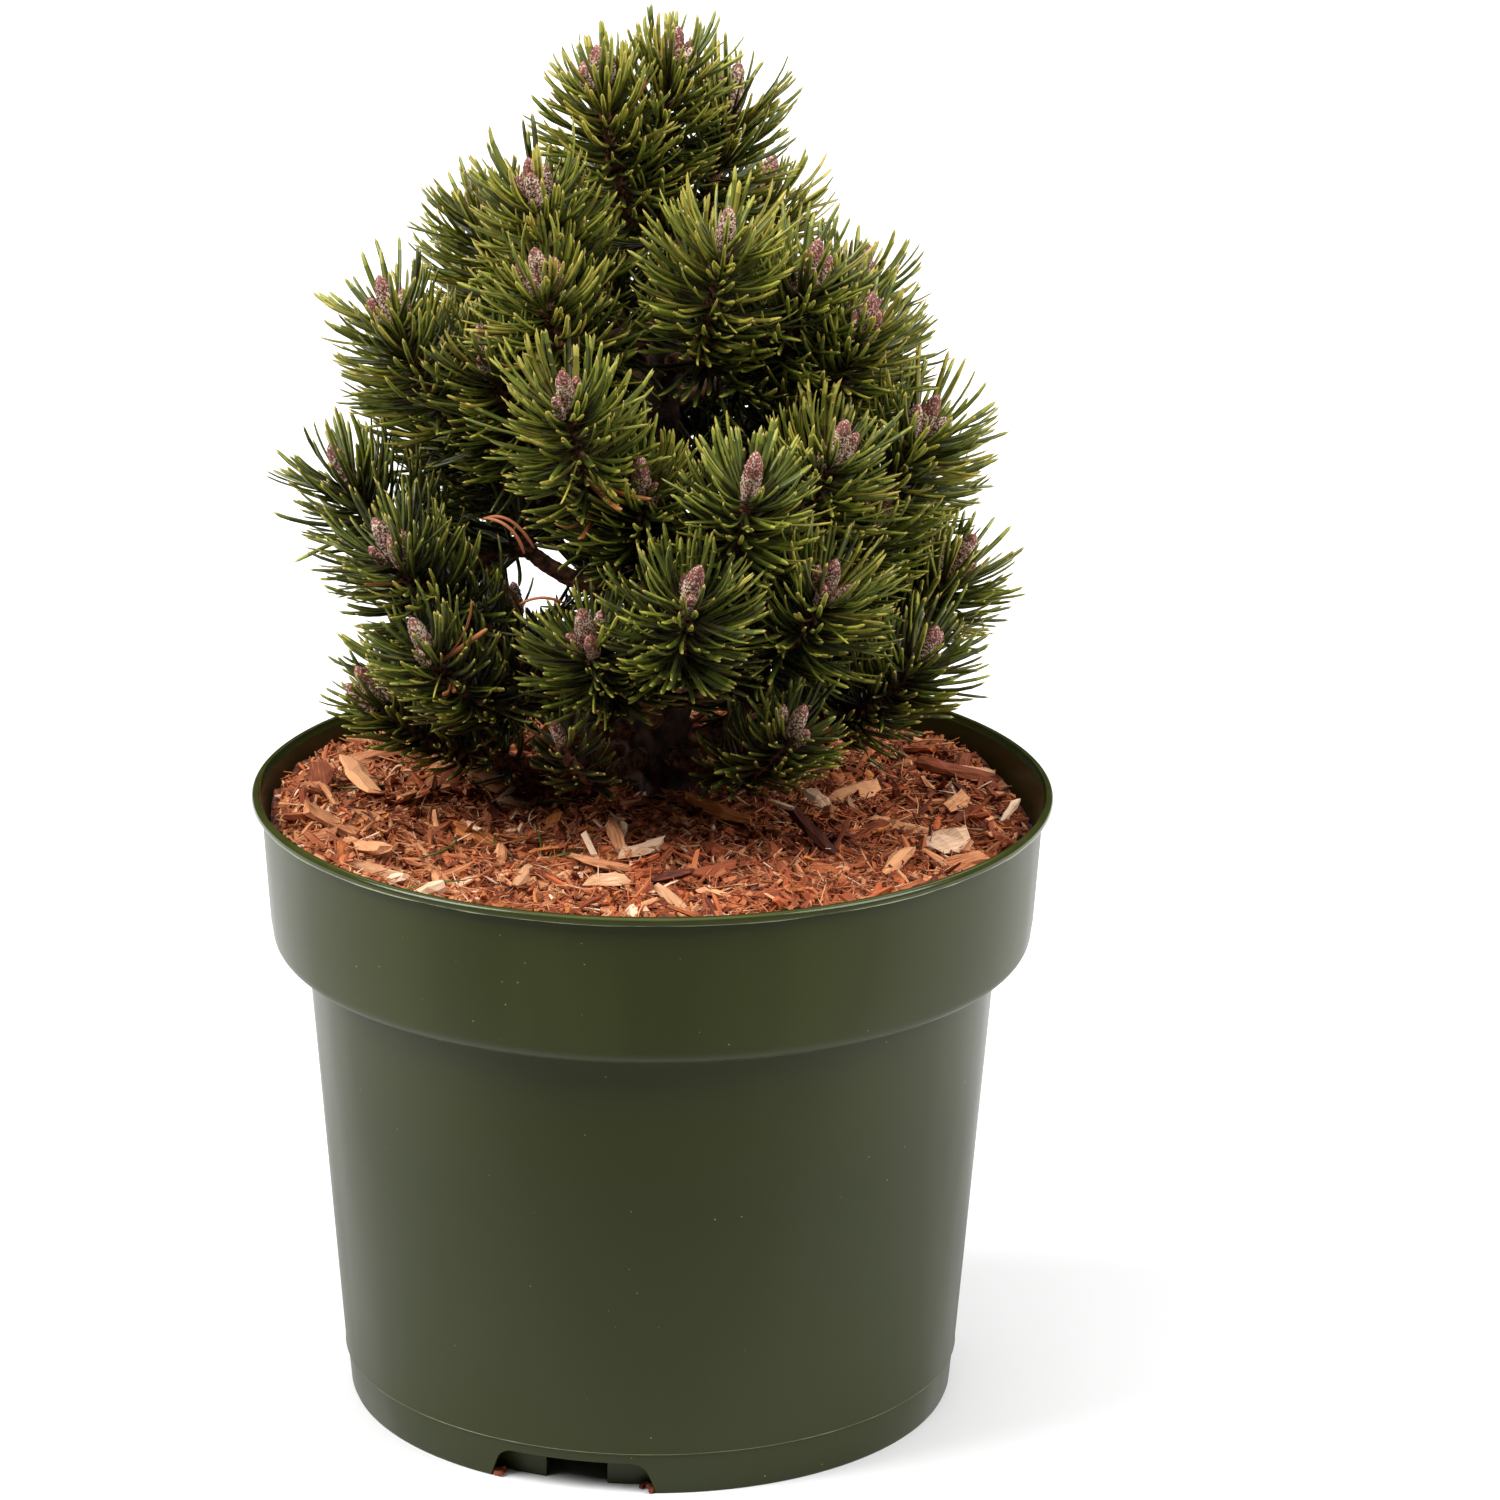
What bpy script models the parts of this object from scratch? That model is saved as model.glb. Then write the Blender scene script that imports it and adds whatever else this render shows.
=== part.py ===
"""Mugo pine in a plastic nursery pot, at its real size.

The pot, the soil, the bark mulch and the trunk are single solids. Each bough is
one tapering limb that starts clear of the trunk. The needles that a bough carries
are one solid: twigs that branch from one stem, each swelling into the slim core of
a shoot, with winter buds and needles fused on. Units are metres, +Z is up, and the
origin is the centre of the pot's foot.
"""

import math
import random
from collections import namedtuple

import bmesh
import bpy
import numpy as np
from mathutils import Matrix, Vector, noise

SEED = 23
GAP = 0.0003

# The pot, turned about Z.
POT_HEIGHT = 0.182
POT_STEPS = 40
WALL = 0.0018
LIP_RADIUS = 0.115
LIP_DEPTH = 0.0032
LIP_EDGE = 0.0010
COLLAR_TOP_RADIUS = 0.1123
COLLAR_FOOT_RADIUS = 0.1094
COLLAR_FOOT_HEIGHT = 0.1365
COLLAR_ROUND = 0.0048
BODY_TOP_RADIUS = 0.0996
FOOT_RADIUS = 0.0886
FOOT_WALL = 0.0026
SEAM_HEIGHT = 0.0126
SEAM_STEP = 0.0005
FLOOR_HEIGHT = 0.0105
FLOOR_THICKNESS = 0.0022
INNER_RING_RADIUS = 0.0815

# The drain notches in the foot, spaced evenly round it, and the slots behind them.
NOTCH_COUNT = 3
NOTCH_AZIMUTH = -14.0
NOTCH_WIDTH = 0.045
NOTCH_HEIGHT = 0.0095
NOTCH_ROUND = 0.0035
NOTCH_INNER = 0.0823
NOTCH_OUTER = 0.0940
SLOT_WIDTH = 0.018
SLOT_HEIGHT = 0.015
SLOT_INNER = 0.066

# The soil and the mulch that fill the pot.
FILL_STEPS = 20
SOIL_TOP = 0.148
MULCH_LEVEL = 0.1715
MULCH_RELIEF = 0.0030
RELIEF_SCALE = 60.0
BED_RINGS = (0.0, 0.17, 0.34, 0.52, 0.70, 0.88)
GROUND = 0.1755
MOUND_TOP = 0.1747
MOUND_RADIUS = 0.045
CHIP_COUNT = 22
CHIP_LENGTH = 0.020
CHIP_DEPTH = 0.0034
CHIP_NEAREST = 0.030
CHIP_FURTHEST = 0.094
CHIP_CLEARANCE = 0.031

# The trunk, from its flat cut on the mulch to the foot of the leading shoots.
TRUNK_X = 0.001
TRUNK_Y = 0.018
TRUNK_LEAN = 0.004
TRUNK_SWAY = 0.003
TRUNK_TOP = 0.334
TRUNK_FOOT_RADIUS = 0.0105
TRUNK_TOP_RADIUS = 0.0034
ROOT_FLARE = 0.0060
ROOT_FLARE_HEIGHT = 0.010
TRUNK_POINTS = 12

# The crown's outline, which gives each shoot's reach from its height.
CROWN_X = -0.001
CROWN_TOP = 0.400
CROWN_WIDEST = 0.262
CROWN_FOOT = 0.190
CROWN_RADIUS = 0.083
CROWN_FOOT_SHARE = 0.84
CROWN_POWER = 1.6
BACK_SHARE = 0.90

# The boughs, and the stems that lead on from them to the shoots.
BOUGH_RADIUS = 0.0033
BOUGH_TO_TRUNK = 0.62
BOUGH_SHARE = 0.52
BOUGH_BEND = 0.62
BOUGH_POINTS = 4
FORK_DROP = 0.42
FORK_STEP = 0.002
LOWEST_FORK = 0.188
HIGHEST_FORK = 0.322
TWIG_RADIUS = 0.0022
STEM_LEAD = 0.0045

# The shoots: how far a shoot leans out at the crown's foot and top, in degrees.
SHOOT_LENGTH = 0.036
LEAN_FOOT = 60.0
LEAN_TOP = 8.0
LEAN_POWER = 0.8
CORE_RADIUS = 0.0086
CORE_SHAPE = (0.50, 1.00, 0.92, 0.36)

# The needles, which lean out from their shoot by an angle in degrees, and the buds.
NEEDLE_COUNT = 12
NEEDLE_LENGTH = 0.0275
NEEDLE_ROOT = 0.0034
NEEDLE_LEAN_FOOT = 74.0
NEEDLE_LEAN_TIP = 24.0
NEEDLE_HIGHEST = 0.86
NEEDLE_CUTS = (1.0, 0.88, 0.76, 0.64, 0.52)
LOWEST_NEEDLE = 0.1845
CLEARANCE = 0.0006
BUD_LENGTH = 0.0135
BUD_RADIUS = 0.0028
BUD_WIDEST = 0.35
BUD_SUNK = 0.15
SIDE_BUD_SHARE = 0.72
SIDE_BUD_LEAN = 24.0
GOLDEN_ANGLE = math.radians(137.508)

Shoot = namedtuple("Shoot", "height azimuth share")
Bough = namedtuple("Bough", "name shoots")
Ring = namedtuple("Ring", "name count first last shoots")
Mass = namedtuple("Mass", "name paths")
Limb = namedtuple("Limb", "path radii")

# Each shoot's height, its bearing round the trunk in degrees (0 is the front and 90
# the right), and its share of the crown's reach at that height.
LEADER = (Shoot(0.388, 90.0, 0.26), Shoot(0.385, -46.0, 0.79), Shoot(0.374, 112.0, 0.70))

FRONT_BOUGHS = (
    Bough("upper_left", (Shoot(0.358, -46.0, 0.94), Shoot(0.336, -33.0, 0.90))),
    Bough("upper_right", (Shoot(0.346, 27.0, 0.81), Shoot(0.333, 58.0, 0.84))),
    Bough("left_shoulder", (Shoot(0.322, -68.0, 1.18), Shoot(0.312, -48.0, 0.84))),
    Bough("right_shoulder", (Shoot(0.319, 66.0, 0.96), Shoot(0.308, 98.0, 0.90))),
    Bough("front_centre", (Shoot(0.308, -18.0, 0.98), Shoot(0.280, -2.0, 0.72))),
    Bough("front_right", (Shoot(0.285, 21.0, 0.98), Shoot(0.290, 44.0, 0.95))),
    Bough("right_side", (Shoot(0.291, 70.0, 1.07), Shoot(0.264, 62.0, 0.87))),
    Bough("left_side", (Shoot(0.271, -80.0, 1.10), Shoot(0.288, -97.0, 0.86))),
    Bough("low_left", (Shoot(0.254, -55.0, 1.07), Shoot(0.226, -44.0, 1.12))),
    Bough("low_front", (Shoot(0.253, 8.0, 1.02), Shoot(0.236, -13.0, 0.88))),
    Bough("low_front_right", (Shoot(0.249, 36.0, 1.02),)),
    Bough("low_right", (Shoot(0.229, 60.0, 1.12), Shoot(0.243, 86.0, 1.10))),
    Bough("skirt_right", (Shoot(0.212, 31.0, 1.04),)),
    Bough("skirt_front", (Shoot(0.211, -20.0, 0.92),)),
    Bough("skirt_left", (Shoot(0.206, -68.0, 1.14),)),
)

# The far side, which the front view hides: rings of like boughs, spaced evenly.
BACK_RINGS = (
    Ring("upper_back", 3, 132.0, 246.0, (Shoot(0.341, 8.0, 0.92), Shoot(0.318, -16.0, 1.00))),
    Ring("middle_back", 4, 112.0, 230.0, (Shoot(0.297, 12.0, 1.00), Shoot(0.266, -9.0, 1.00))),
    Ring("lower_back", 4, 112.0, 254.0, (Shoot(0.240, -12.0, 1.00), Shoot(0.212, 12.0, 1.00))),
)


def new_collection(name):
    """A collection linked into the scene."""
    collection = bpy.data.collections.new(name)
    bpy.context.scene.collection.children.link(collection)
    return collection


def new_material(name, colour, roughness):
    """A Principled material of one colour."""
    material = bpy.data.materials.new(name)
    material.use_nodes = True
    shader = material.node_tree.nodes["Principled BSDF"]
    shader.inputs["Base Color"].default_value = (*colour, 1.0)
    shader.inputs["Roughness"].default_value = roughness
    shader.inputs["Metallic"].default_value = 0.0
    return material


def mesh_object(name, mesh, collection, material=None):
    """An object that shows a mesh, in a collection."""
    obj = bpy.data.objects.new(name, mesh)
    collection.objects.link(obj)
    if material:
        mesh.materials.clear()
        mesh.materials.append(material)
    return obj


def from_bmesh(name, work, collection):
    """An object made from a bmesh, which is then freed."""
    mesh = bpy.data.meshes.new(name)
    work.to_mesh(mesh)
    work.free()
    return mesh_object(name, mesh, collection)


def remove_object(obj):
    """Removes an object and the data that only it used."""
    data = obj.data
    bpy.data.objects.remove(obj)
    holder = bpy.data.meshes if isinstance(data, bpy.types.Mesh) else bpy.data.curves
    holder.remove(data)


def baked(obj):
    """A mesh object in place of this one, with its modifiers applied and doubles welded."""
    graph = bpy.context.evaluated_depsgraph_get()
    mesh = bpy.data.meshes.new_from_object(obj.evaluated_get(graph))
    mesh.transform(obj.matrix_world)
    name, collection = obj.name, obj.users_collection[0]
    remove_object(obj)
    work = bmesh.new()
    work.from_mesh(mesh)
    bpy.data.meshes.remove(mesh)
    bmesh.ops.remove_doubles(work, verts=work.verts, dist=1e-6)
    return from_bmesh(name, work, collection)


def tube(name, points, radii, collection, bevel_resolution=1):
    """A limb as a curve through its points, with a radius at each, made a mesh."""
    curve = bpy.data.curves.new(name, "CURVE")
    curve.dimensions = "3D"
    curve.bevel_depth = 1.0
    curve.bevel_resolution = bevel_resolution
    curve.use_fill_caps = True
    spline = curve.splines.new("POLY")
    spline.points.add(len(points) - 1)
    for place, point, radius in zip(spline.points, points, radii):
        place.co = (*point, 1.0)
        place.radius = radius
    obj = bpy.data.objects.new(name, curve)
    collection.objects.link(obj)
    return baked(obj)


def turned(name, profile, steps, collection):
    """A profile of (radius, height) points, from axis to axis, turned about Z."""
    mesh = bpy.data.meshes.new(name)
    points = [(radius, 0.0, height) for radius, height in profile]
    mesh.from_pydata(points, [(i, i + 1) for i in range(len(points) - 1)], [])
    obj = mesh_object(name, mesh, collection)
    screw = obj.modifiers.new("turn", "SCREW")
    screw.steps = steps
    screw.render_steps = steps
    screw.use_merge_vertices = True
    screw.merge_threshold = 0.00005
    return obj


def block(name, size, place, turn, collection):
    """A box of a size, centred on a place and turned by Euler angles."""
    work = bmesh.new()
    bmesh.ops.create_cube(work, size=1.0)
    bmesh.ops.scale(work, vec=Vector(size), verts=work.verts)
    obj = from_bmesh(name, work, collection)
    obj.location = place
    obj.rotation_euler = turn
    return obj


def cut(obj, cutter):
    """Takes the cutter away from the object, by a modifier that stays on it."""
    cutter.hide_render = True
    cutter.display_type = "WIRE"
    modifier = obj.modifiers.new("cut_" + cutter.name, "BOOLEAN")
    modifier.operation = "DIFFERENCE"
    modifier.object = cutter


def joined(base, pieces, material):
    """One Boolean union of a base with its pieces, applied. Loose scraps are dropped."""
    group = new_collection(base.name + "_pieces")
    for piece in pieces:
        group.objects.link(piece)
    union = base.modifiers.new("union", "BOOLEAN")
    union.operation = "UNION"
    union.operand_type = "COLLECTION"
    union.collection = group
    union.solver = "MANIFOLD"
    whole = baked(base)
    for piece in pieces:
        remove_object(piece)
    bpy.data.collections.remove(group)
    keep_largest_island(whole.data)
    whole.data.materials.append(material)
    return whole


def keep_largest_island(mesh):
    """Drops every island of joined faces but the one with most faces."""
    work = bmesh.new()
    work.from_mesh(mesh)
    left, islands = set(work.faces), []
    while left:
        island, edge = set(), [left.pop()]
        while edge:
            face = edge.pop()
            island.add(face)
            near = {other for side in face.edges for other in side.link_faces} & left
            edge.extend(near)
            left -= near
        islands.append(island)
    islands.sort(key=len)
    loose = [face for island in islands[:-1] for face in island]
    bmesh.ops.delete(work, geom=loose, context="FACES")
    work.to_mesh(mesh)
    work.free()


def level_point(azimuth, reach, height=0.0):
    """A point at a bearing in radians and a reach from the Z axis."""
    return (reach * math.sin(azimuth), -reach * math.cos(azimuth), height)


def body_radius(height):
    """The outer radius of the pot's body at a height."""
    return FOOT_RADIUS + (BODY_TOP_RADIUS - FOOT_RADIUS) * height / COLLAR_FOOT_HEIGHT


def collar_radius(height):
    """The outer radius of the pot's collar at a height."""
    share = (height - COLLAR_FOOT_HEIGHT) / (POT_HEIGHT - LIP_DEPTH - COLLAR_FOOT_HEIGHT)
    return COLLAR_FOOT_RADIUS + (COLLAR_TOP_RADIUS - COLLAR_FOOT_RADIUS) * share


def inner_radius(height, gap):
    """The radius of the pot's inner face at a height, drawn in by a gap."""
    outline = collar_radius if height > COLLAR_FOOT_HEIGHT + WALL else body_radius
    return outline(height) - WALL - gap


def inner_wall(low, high, gap=0.0):
    """The pot's inner face from one height up to another, drawn in by a gap."""
    ledge = COLLAR_FOOT_HEIGHT + WALL + gap
    points = [(inner_radius(low, gap), low)]
    if low < ledge < high:
        corner = inner_radius(ledge + COLLAR_ROUND, gap)
        points.append((body_radius(ledge) - WALL - gap, ledge))
        points.append((corner - COLLAR_ROUND, ledge))
        points.append((corner, ledge + COLLAR_ROUND))
    return points + [(inner_radius(high, gap), high)]


def pot_profile():
    """The pot's section, from the middle of its floor over the lip to its underside."""
    floor_top = FLOOR_HEIGHT + FLOOR_THICKNESS
    lip_foot = POT_HEIGHT - LIP_DEPTH
    bend_radius = COLLAR_FOOT_RADIUS - COLLAR_ROUND
    bend_height = COLLAR_FOOT_HEIGHT + COLLAR_ROUND
    points = [(0.0, floor_top)] + inner_wall(floor_top, POT_HEIGHT - LIP_EDGE)
    points.append((COLLAR_TOP_RADIUS - LIP_EDGE / 2, POT_HEIGHT))
    points.append((LIP_RADIUS - LIP_EDGE, POT_HEIGHT))
    points.append((LIP_RADIUS, POT_HEIGHT - LIP_EDGE))
    points.append((LIP_RADIUS, lip_foot))
    points.append((collar_radius(lip_foot), lip_foot))
    for turn in np.radians((0.0, -30.0, -60.0, -90.0)):
        out, up = COLLAR_ROUND * math.cos(turn), COLLAR_ROUND * math.sin(turn)
        points.append((bend_radius + out, bend_height + up))
    points.append((BODY_TOP_RADIUS, COLLAR_FOOT_HEIGHT))
    points.append((body_radius(SEAM_HEIGHT), SEAM_HEIGHT))
    points.append((body_radius(SEAM_HEIGHT) - SEAM_STEP, SEAM_HEIGHT - SEAM_STEP))
    points.append((FOOT_RADIUS - SEAM_STEP, 0.0))
    points.append((FOOT_RADIUS - FOOT_WALL, 0.0))
    points.append((FOOT_RADIUS - FOOT_WALL, FLOOR_HEIGHT))
    points.append((INNER_RING_RADIUS, FLOOR_HEIGHT))
    points.append((INNER_RING_RADIUS, 0.0))
    points.append((INNER_RING_RADIUS - WALL, 0.0))
    points.append((INNER_RING_RADIUS - WALL, FLOOR_HEIGHT))
    return points + [(0.0, FLOOR_HEIGHT)]


def notch_cutter(name, azimuth, collection):
    """A block with rounded upper corners that cuts one notch in the foot's outer wall."""
    size = (NOTCH_WIDTH, NOTCH_OUTER - NOTCH_INNER, 2 * NOTCH_HEIGHT)
    place = level_point(azimuth, (NOTCH_OUTER + NOTCH_INNER) / 2)
    cutter = block(name, size, place, (0.0, 0.0, azimuth), collection)
    weights = cutter.data.attributes.new("bevel_weight_edge", "FLOAT", "EDGE")
    for edge in cutter.data.edges:
        a, b = (cutter.data.vertices[i].co for i in edge.vertices)
        if abs(a.y - b.y) > NOTCH_ROUND and a.z > 0:
            weights.data[edge.index].value = 1.0
    bevel = cutter.modifiers.new("rounded", "BEVEL")
    bevel.width = NOTCH_ROUND
    bevel.segments = 3
    bevel.limit_method = "WEIGHT"
    return cutter


def build_pot(collection, cutters, material):
    """The pot: a turned shell, with notches in its foot and drain slots behind them."""
    pot = turned("pot", pot_profile(), POT_STEPS, collection)
    pot.data.materials.append(material)
    slot_outer = (INNER_RING_RADIUS + NOTCH_INNER) / 2
    slot_size = (SLOT_WIDTH, slot_outer - SLOT_INNER, 2 * SLOT_HEIGHT)
    for index in range(NOTCH_COUNT):
        azimuth = math.radians(NOTCH_AZIMUTH) + index * math.tau / NOTCH_COUNT
        cut(pot, notch_cutter(f"notch_{index + 1}", azimuth, cutters))
        place = level_point(azimuth, (slot_outer + SLOT_INNER) / 2)
        cut(pot, block(f"slot_{index + 1}", slot_size, place, (0.0, 0.0, azimuth), cutters))
    return pot


def build_soil(collection, material):
    """The soil below the mulch, clear of the pot's wall and floor."""
    floor = FLOOR_HEIGHT + FLOOR_THICKNESS + GAP
    profile = [(0.0, SOIL_TOP)] + inner_wall(floor, SOIL_TOP, GAP)[::-1] + [(0.0, floor)]
    soil = turned("potting_soil", profile, FILL_STEPS, collection)
    soil.data.materials.append(material)
    return soil


def mulch_height(x, y):
    """The height of the mulch: an uneven bed with a low mound round the trunk."""
    away = math.hypot(x - TRUNK_X, y - TRUNK_Y)
    mound = max(0.0, 1.0 - (away / MOUND_RADIUS) ** 2)
    lumps = noise.noise(Vector((x * RELIEF_SCALE, y * RELIEF_SCALE, 0.0)))
    return MULCH_LEVEL + (MOUND_TOP - MULCH_LEVEL) * mound + MULCH_RELIEF * lumps * (1.0 - mound)


def mulch_chips(rng, collection):
    """Large chips of bark, half sunk in the bed and spread over it in a spiral."""
    chips = []
    for index in range(CHIP_COUNT):
        share = math.sqrt((index + 0.5) / CHIP_COUNT)
        reach = CHIP_NEAREST + (CHIP_FURTHEST - CHIP_NEAREST) * share
        x, y, _ = level_point(index * GOLDEN_ANGLE, reach)
        length = CHIP_LENGTH * rng.uniform(0.65, 1.2)
        size = (length, length * rng.uniform(0.30, 0.48), CHIP_DEPTH)
        turn = (rng.uniform(-0.25, 0.25), rng.uniform(-0.2, 0.2), rng.uniform(0.0, math.pi))
        if math.hypot(x - TRUNK_X, y - TRUNK_Y) > CHIP_CLEARANCE:
            chips.append(block(f"chip_{index}", size, (x, y, mulch_height(x, y)), turn, collection))
    return chips


def build_mulch(collection, material):
    """The bark mulch: an uneven bed inside the collar, with the larger chips fused on."""
    floor = SOIL_TOP + GAP
    edge = inner_radius(MULCH_LEVEL, GAP)
    profile = [(edge * share, MULCH_LEVEL) for share in BED_RINGS]
    profile += [(edge, MULCH_LEVEL), (inner_radius(floor, GAP), floor), (0.0, floor)]
    bed = baked(turned("bark_mulch", profile, FILL_STEPS, collection))
    for vertex in bed.data.vertices:
        place = vertex.co
        if place.z > floor + GAP and math.hypot(place.x, place.y) < edge - GAP:
            place.z = mulch_height(place.x, place.y)
    return joined(bed, mulch_chips(random.Random(SEED), collection), material)


def trunk_axis(height):
    """The middle of the trunk at a height: a slight lean and one soft bend."""
    share = (height - GROUND) / (TRUNK_TOP - GROUND)
    bend = TRUNK_SWAY * math.sin(math.pi * share)
    return np.array([TRUNK_X + TRUNK_LEAN * share - bend, TRUNK_Y - bend / 2, height])


def trunk_radius(height):
    """The trunk's radius: an even taper, with a flare where it meets the ground."""
    share = (height - GROUND) / (TRUNK_TOP - GROUND)
    taper = TRUNK_FOOT_RADIUS + (TRUNK_TOP_RADIUS - TRUNK_FOOT_RADIUS) * share
    return taper + ROOT_FLARE * math.exp((GROUND - height) / ROOT_FLARE_HEIGHT)


def trunk_limb():
    """The trunk's middle line and radii, with more points at the root flare."""
    heights = GROUND + (TRUNK_TOP - GROUND) * np.linspace(0.0, 1.0, TRUNK_POINTS) ** 1.6
    path = np.array([trunk_axis(h) for h in heights])
    return Limb(path, np.array([trunk_radius(h) for h in heights]))


def outward(azimuth):
    """The level direction away from the trunk at a bearing in degrees."""
    return np.array(level_point(math.radians(azimuth), 1.0))


def crown_reach(height):
    """How far the shoots' tips stand from the trunk at a height."""
    if height > CROWN_WIDEST:
        share = min(1.0, (height - CROWN_WIDEST) / (CROWN_TOP - CROWN_WIDEST))
        return CROWN_RADIUS * (1.0 - share**CROWN_POWER) ** (2.0 / 3.0)
    share = (CROWN_WIDEST - height) / (CROWN_WIDEST - CROWN_FOOT)
    return CROWN_RADIUS * (1.0 - (1.0 - CROWN_FOOT_SHARE) * share**2)


def shoot_tip(shoot):
    """Where a shoot's wood ends and its buds begin."""
    rear = 0.5 - 0.5 * math.cos(math.radians(shoot.azimuth))
    reach = crown_reach(shoot.height) * shoot.share * (1.0 - (1.0 - BACK_SHARE) * rear)
    return np.array([CROWN_X, TRUNK_Y, shoot.height]) + reach * outward(shoot.azimuth)


def shoot_direction(shoot):
    """A shoot's direction: far out at the crown's foot and nearly upright at its top."""
    share = max(0.0, CROWN_TOP - shoot.height) / (CROWN_TOP - CROWN_FOOT)
    lean = math.radians(LEAN_TOP + (LEAN_FOOT - LEAN_TOP) * share**LEAN_POWER)
    return outward(shoot.azimuth) * math.sin(lean) + np.array([0.0, 0.0, math.cos(lean)])


def bent_path(start, bend, end, count):
    """Points along a quadratic curve that leaves its start towards a bend."""
    t = np.linspace(0.0, 1.0, count)[:, None]
    return (1 - t) ** 2 * start + 2 * t * (1 - t) * bend + t**2 * end


def unit(vector):
    """A vector of length one."""
    return vector / np.linalg.norm(vector)


def all_boughs():
    """Every bough: those that the front shows, and the rings of like ones behind."""
    boughs = list(FRONT_BOUGHS)
    for ring in BACK_RINGS:
        for index, bearing in enumerate(np.linspace(ring.first, ring.last, ring.count)):
            shoots = [s._replace(azimuth=bearing + s.azimuth) for s in ring.shoots]
            boughs.append(Bough(f"{ring.name}_{index + 1}", shoots))
    return boughs


def segment_distances(points, starts, steps):
    """The distance from each point, a row, to each straight segment, a column."""
    offsets = points[:, None, :] - starts
    t = np.clip(np.sum(offsets * steps, axis=2) / np.sum(steps**2, axis=1), 0.0, 1.0)
    return np.linalg.norm(offsets - t[..., None] * steps, axis=2)


def bough_limb(bough, fork_height):
    """A bough from inside the trunk, at a fork, to where it enters its needles."""
    feet = [shoot_tip(s) - SHOOT_LENGTH * shoot_direction(s) for s in bough.shoots]
    foot = np.mean(feet, axis=0)
    fork = trunk_axis(fork_height)
    away = math.hypot(foot[0] - fork[0], foot[1] - fork[1])
    end = fork + (foot - fork) * (BOUGH_SHARE + trunk_radius(fork_height) / away)
    level = np.array([end[0] - fork[0], end[1] - fork[1], 0.0])
    path = bent_path(fork, fork + BOUGH_BEND * level, end, BOUGH_POINTS)
    root = min(BOUGH_RADIUS, BOUGH_TO_TRUNK * trunk_radius(fork_height))
    return Limb(path, np.linspace(root, TWIG_RADIUS, BOUGH_POINTS))


def wanted_fork(bough):
    """The height at which a bough would leave the trunk if it had the trunk to itself."""
    height = np.mean([s.height for s in bough.shoots])
    return height - FORK_DROP * crown_reach(height) - 0.3 * SHOOT_LENGTH


def grow_boughs(boughs):
    """Each bough's limb. A bough that would meet an earlier one forks a little off."""
    limbs = {}
    for bough in boughs:
        for offset in sorted(np.arange(-30, 31) * FORK_STEP, key=abs):
            fork = min(HIGHEST_FORK, max(LOWEST_FORK, wanted_fork(bough) + offset))
            limb = bough_limb(bough, fork)
            if all(limbs_are_clear(limb, other) for other in limbs.values()):
                break
        limbs[bough.name] = limb
    return limbs


def limbs_are_clear(limb, other):
    """Whether two boughs keep apart outside the trunk."""
    share = np.linspace(0.0, 1.0, 6)[:, None]
    points = np.vstack([a + (b - a) * share for a, b in zip(limb.path, limb.path[1:])])
    outside = [p for p in points if math.dist(p, trunk_axis(p[2])) > 0.8 * trunk_radius(p[2])]
    near = segment_distances(np.array(outside), other.path[:-1], np.diff(other.path, axis=0))
    return near.min() > limb.radii[0] + other.radii[0] + CLEARANCE


def shoot_paths(start, direction, shoots):
    """The shoots' middle lines. The first leads on from the bough, the rest fork off it."""
    fork = start + STEM_LEAD * direction
    paths = []
    for shoot in shoots:
        tip, heading = shoot_tip(shoot), shoot_direction(shoot)
        back = SHOOT_LENGTH * np.linspace(1.0, 0.0, len(CORE_SHAPE))[:, None]
        stem = [fork] if paths else [start, fork]
        paths.append(np.vstack([stem, tip - back * heading]))
    return paths


def all_masses(boughs, limbs):
    """Every mass of needles: the leading shoots, and one mass on each bough."""
    top, below = trunk_axis(TRUNK_TOP), trunk_axis(TRUNK_TOP - BUD_LENGTH)
    rise = unit(top - below)
    masses = [Mass("leading_shoots", shoot_paths(top + GAP * rise, rise, LEADER))]
    for bough in boughs:
        path = limbs[bough.name].path
        along = unit(path[-1] - path[-2])
        shoots = shoot_paths(path[-1] + GAP * along, along, bough.shoots)
        masses.append(Mass("needles_" + bough.name, shoots))
    return masses


class Space:
    """Where the limbs and every mass's twigs run, so that each mass keeps its own room."""

    def __init__(self, masses, limbs):
        paths = [(i, path) for i, mass in enumerate(masses) for path in mass.paths]
        self.owners = np.concatenate([[i] * (len(path) - 1) for i, path in paths])
        self.starts = np.vstack([path[:-1] for _, path in paths])
        self.steps = np.vstack([np.diff(path, axis=0) for _, path in paths])
        self.limb_starts = np.vstack([limb.path[:-1] for limb in limbs])
        self.limb_steps = np.vstack([np.diff(limb.path, axis=0) for limb in limbs])
        self.limb_radii = np.concatenate([limb.radii[:-1] for limb in limbs])

    def room(self, points, owner):
        """Each point's distance beyond its own twigs' half of the way to the next mass,
        and its distance to the nearest limb."""
        near = segment_distances(points, self.starts, self.steps)
        own = near[:, self.owners == owner].min(axis=1)
        other = near[:, self.owners != owner].min(axis=1)
        limb = segment_distances(points, self.limb_starts, self.limb_steps) - self.limb_radii
        return (other - own) / 2, limb.min(axis=1)

    def is_clear(self, root, tip, owner):
        """Whether a needle stays in its mass's room, clear of limbs, over the pot."""
        share = np.linspace(0.3, 1.0, 7)
        points = root + (tip - root) * share[:, None]
        girth = NEEDLE_ROOT * (1.0 - share) + CLEARANCE
        space, limb = self.room(points, owner)
        over_pot = np.hypot(points[:, 0], points[:, 1]) < LIP_RADIUS - GAP
        above = points[:, 2] - girth > LOWEST_NEEDLE
        return bool(np.all((space > girth) & (limb > girth) & over_pot & above))


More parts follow.
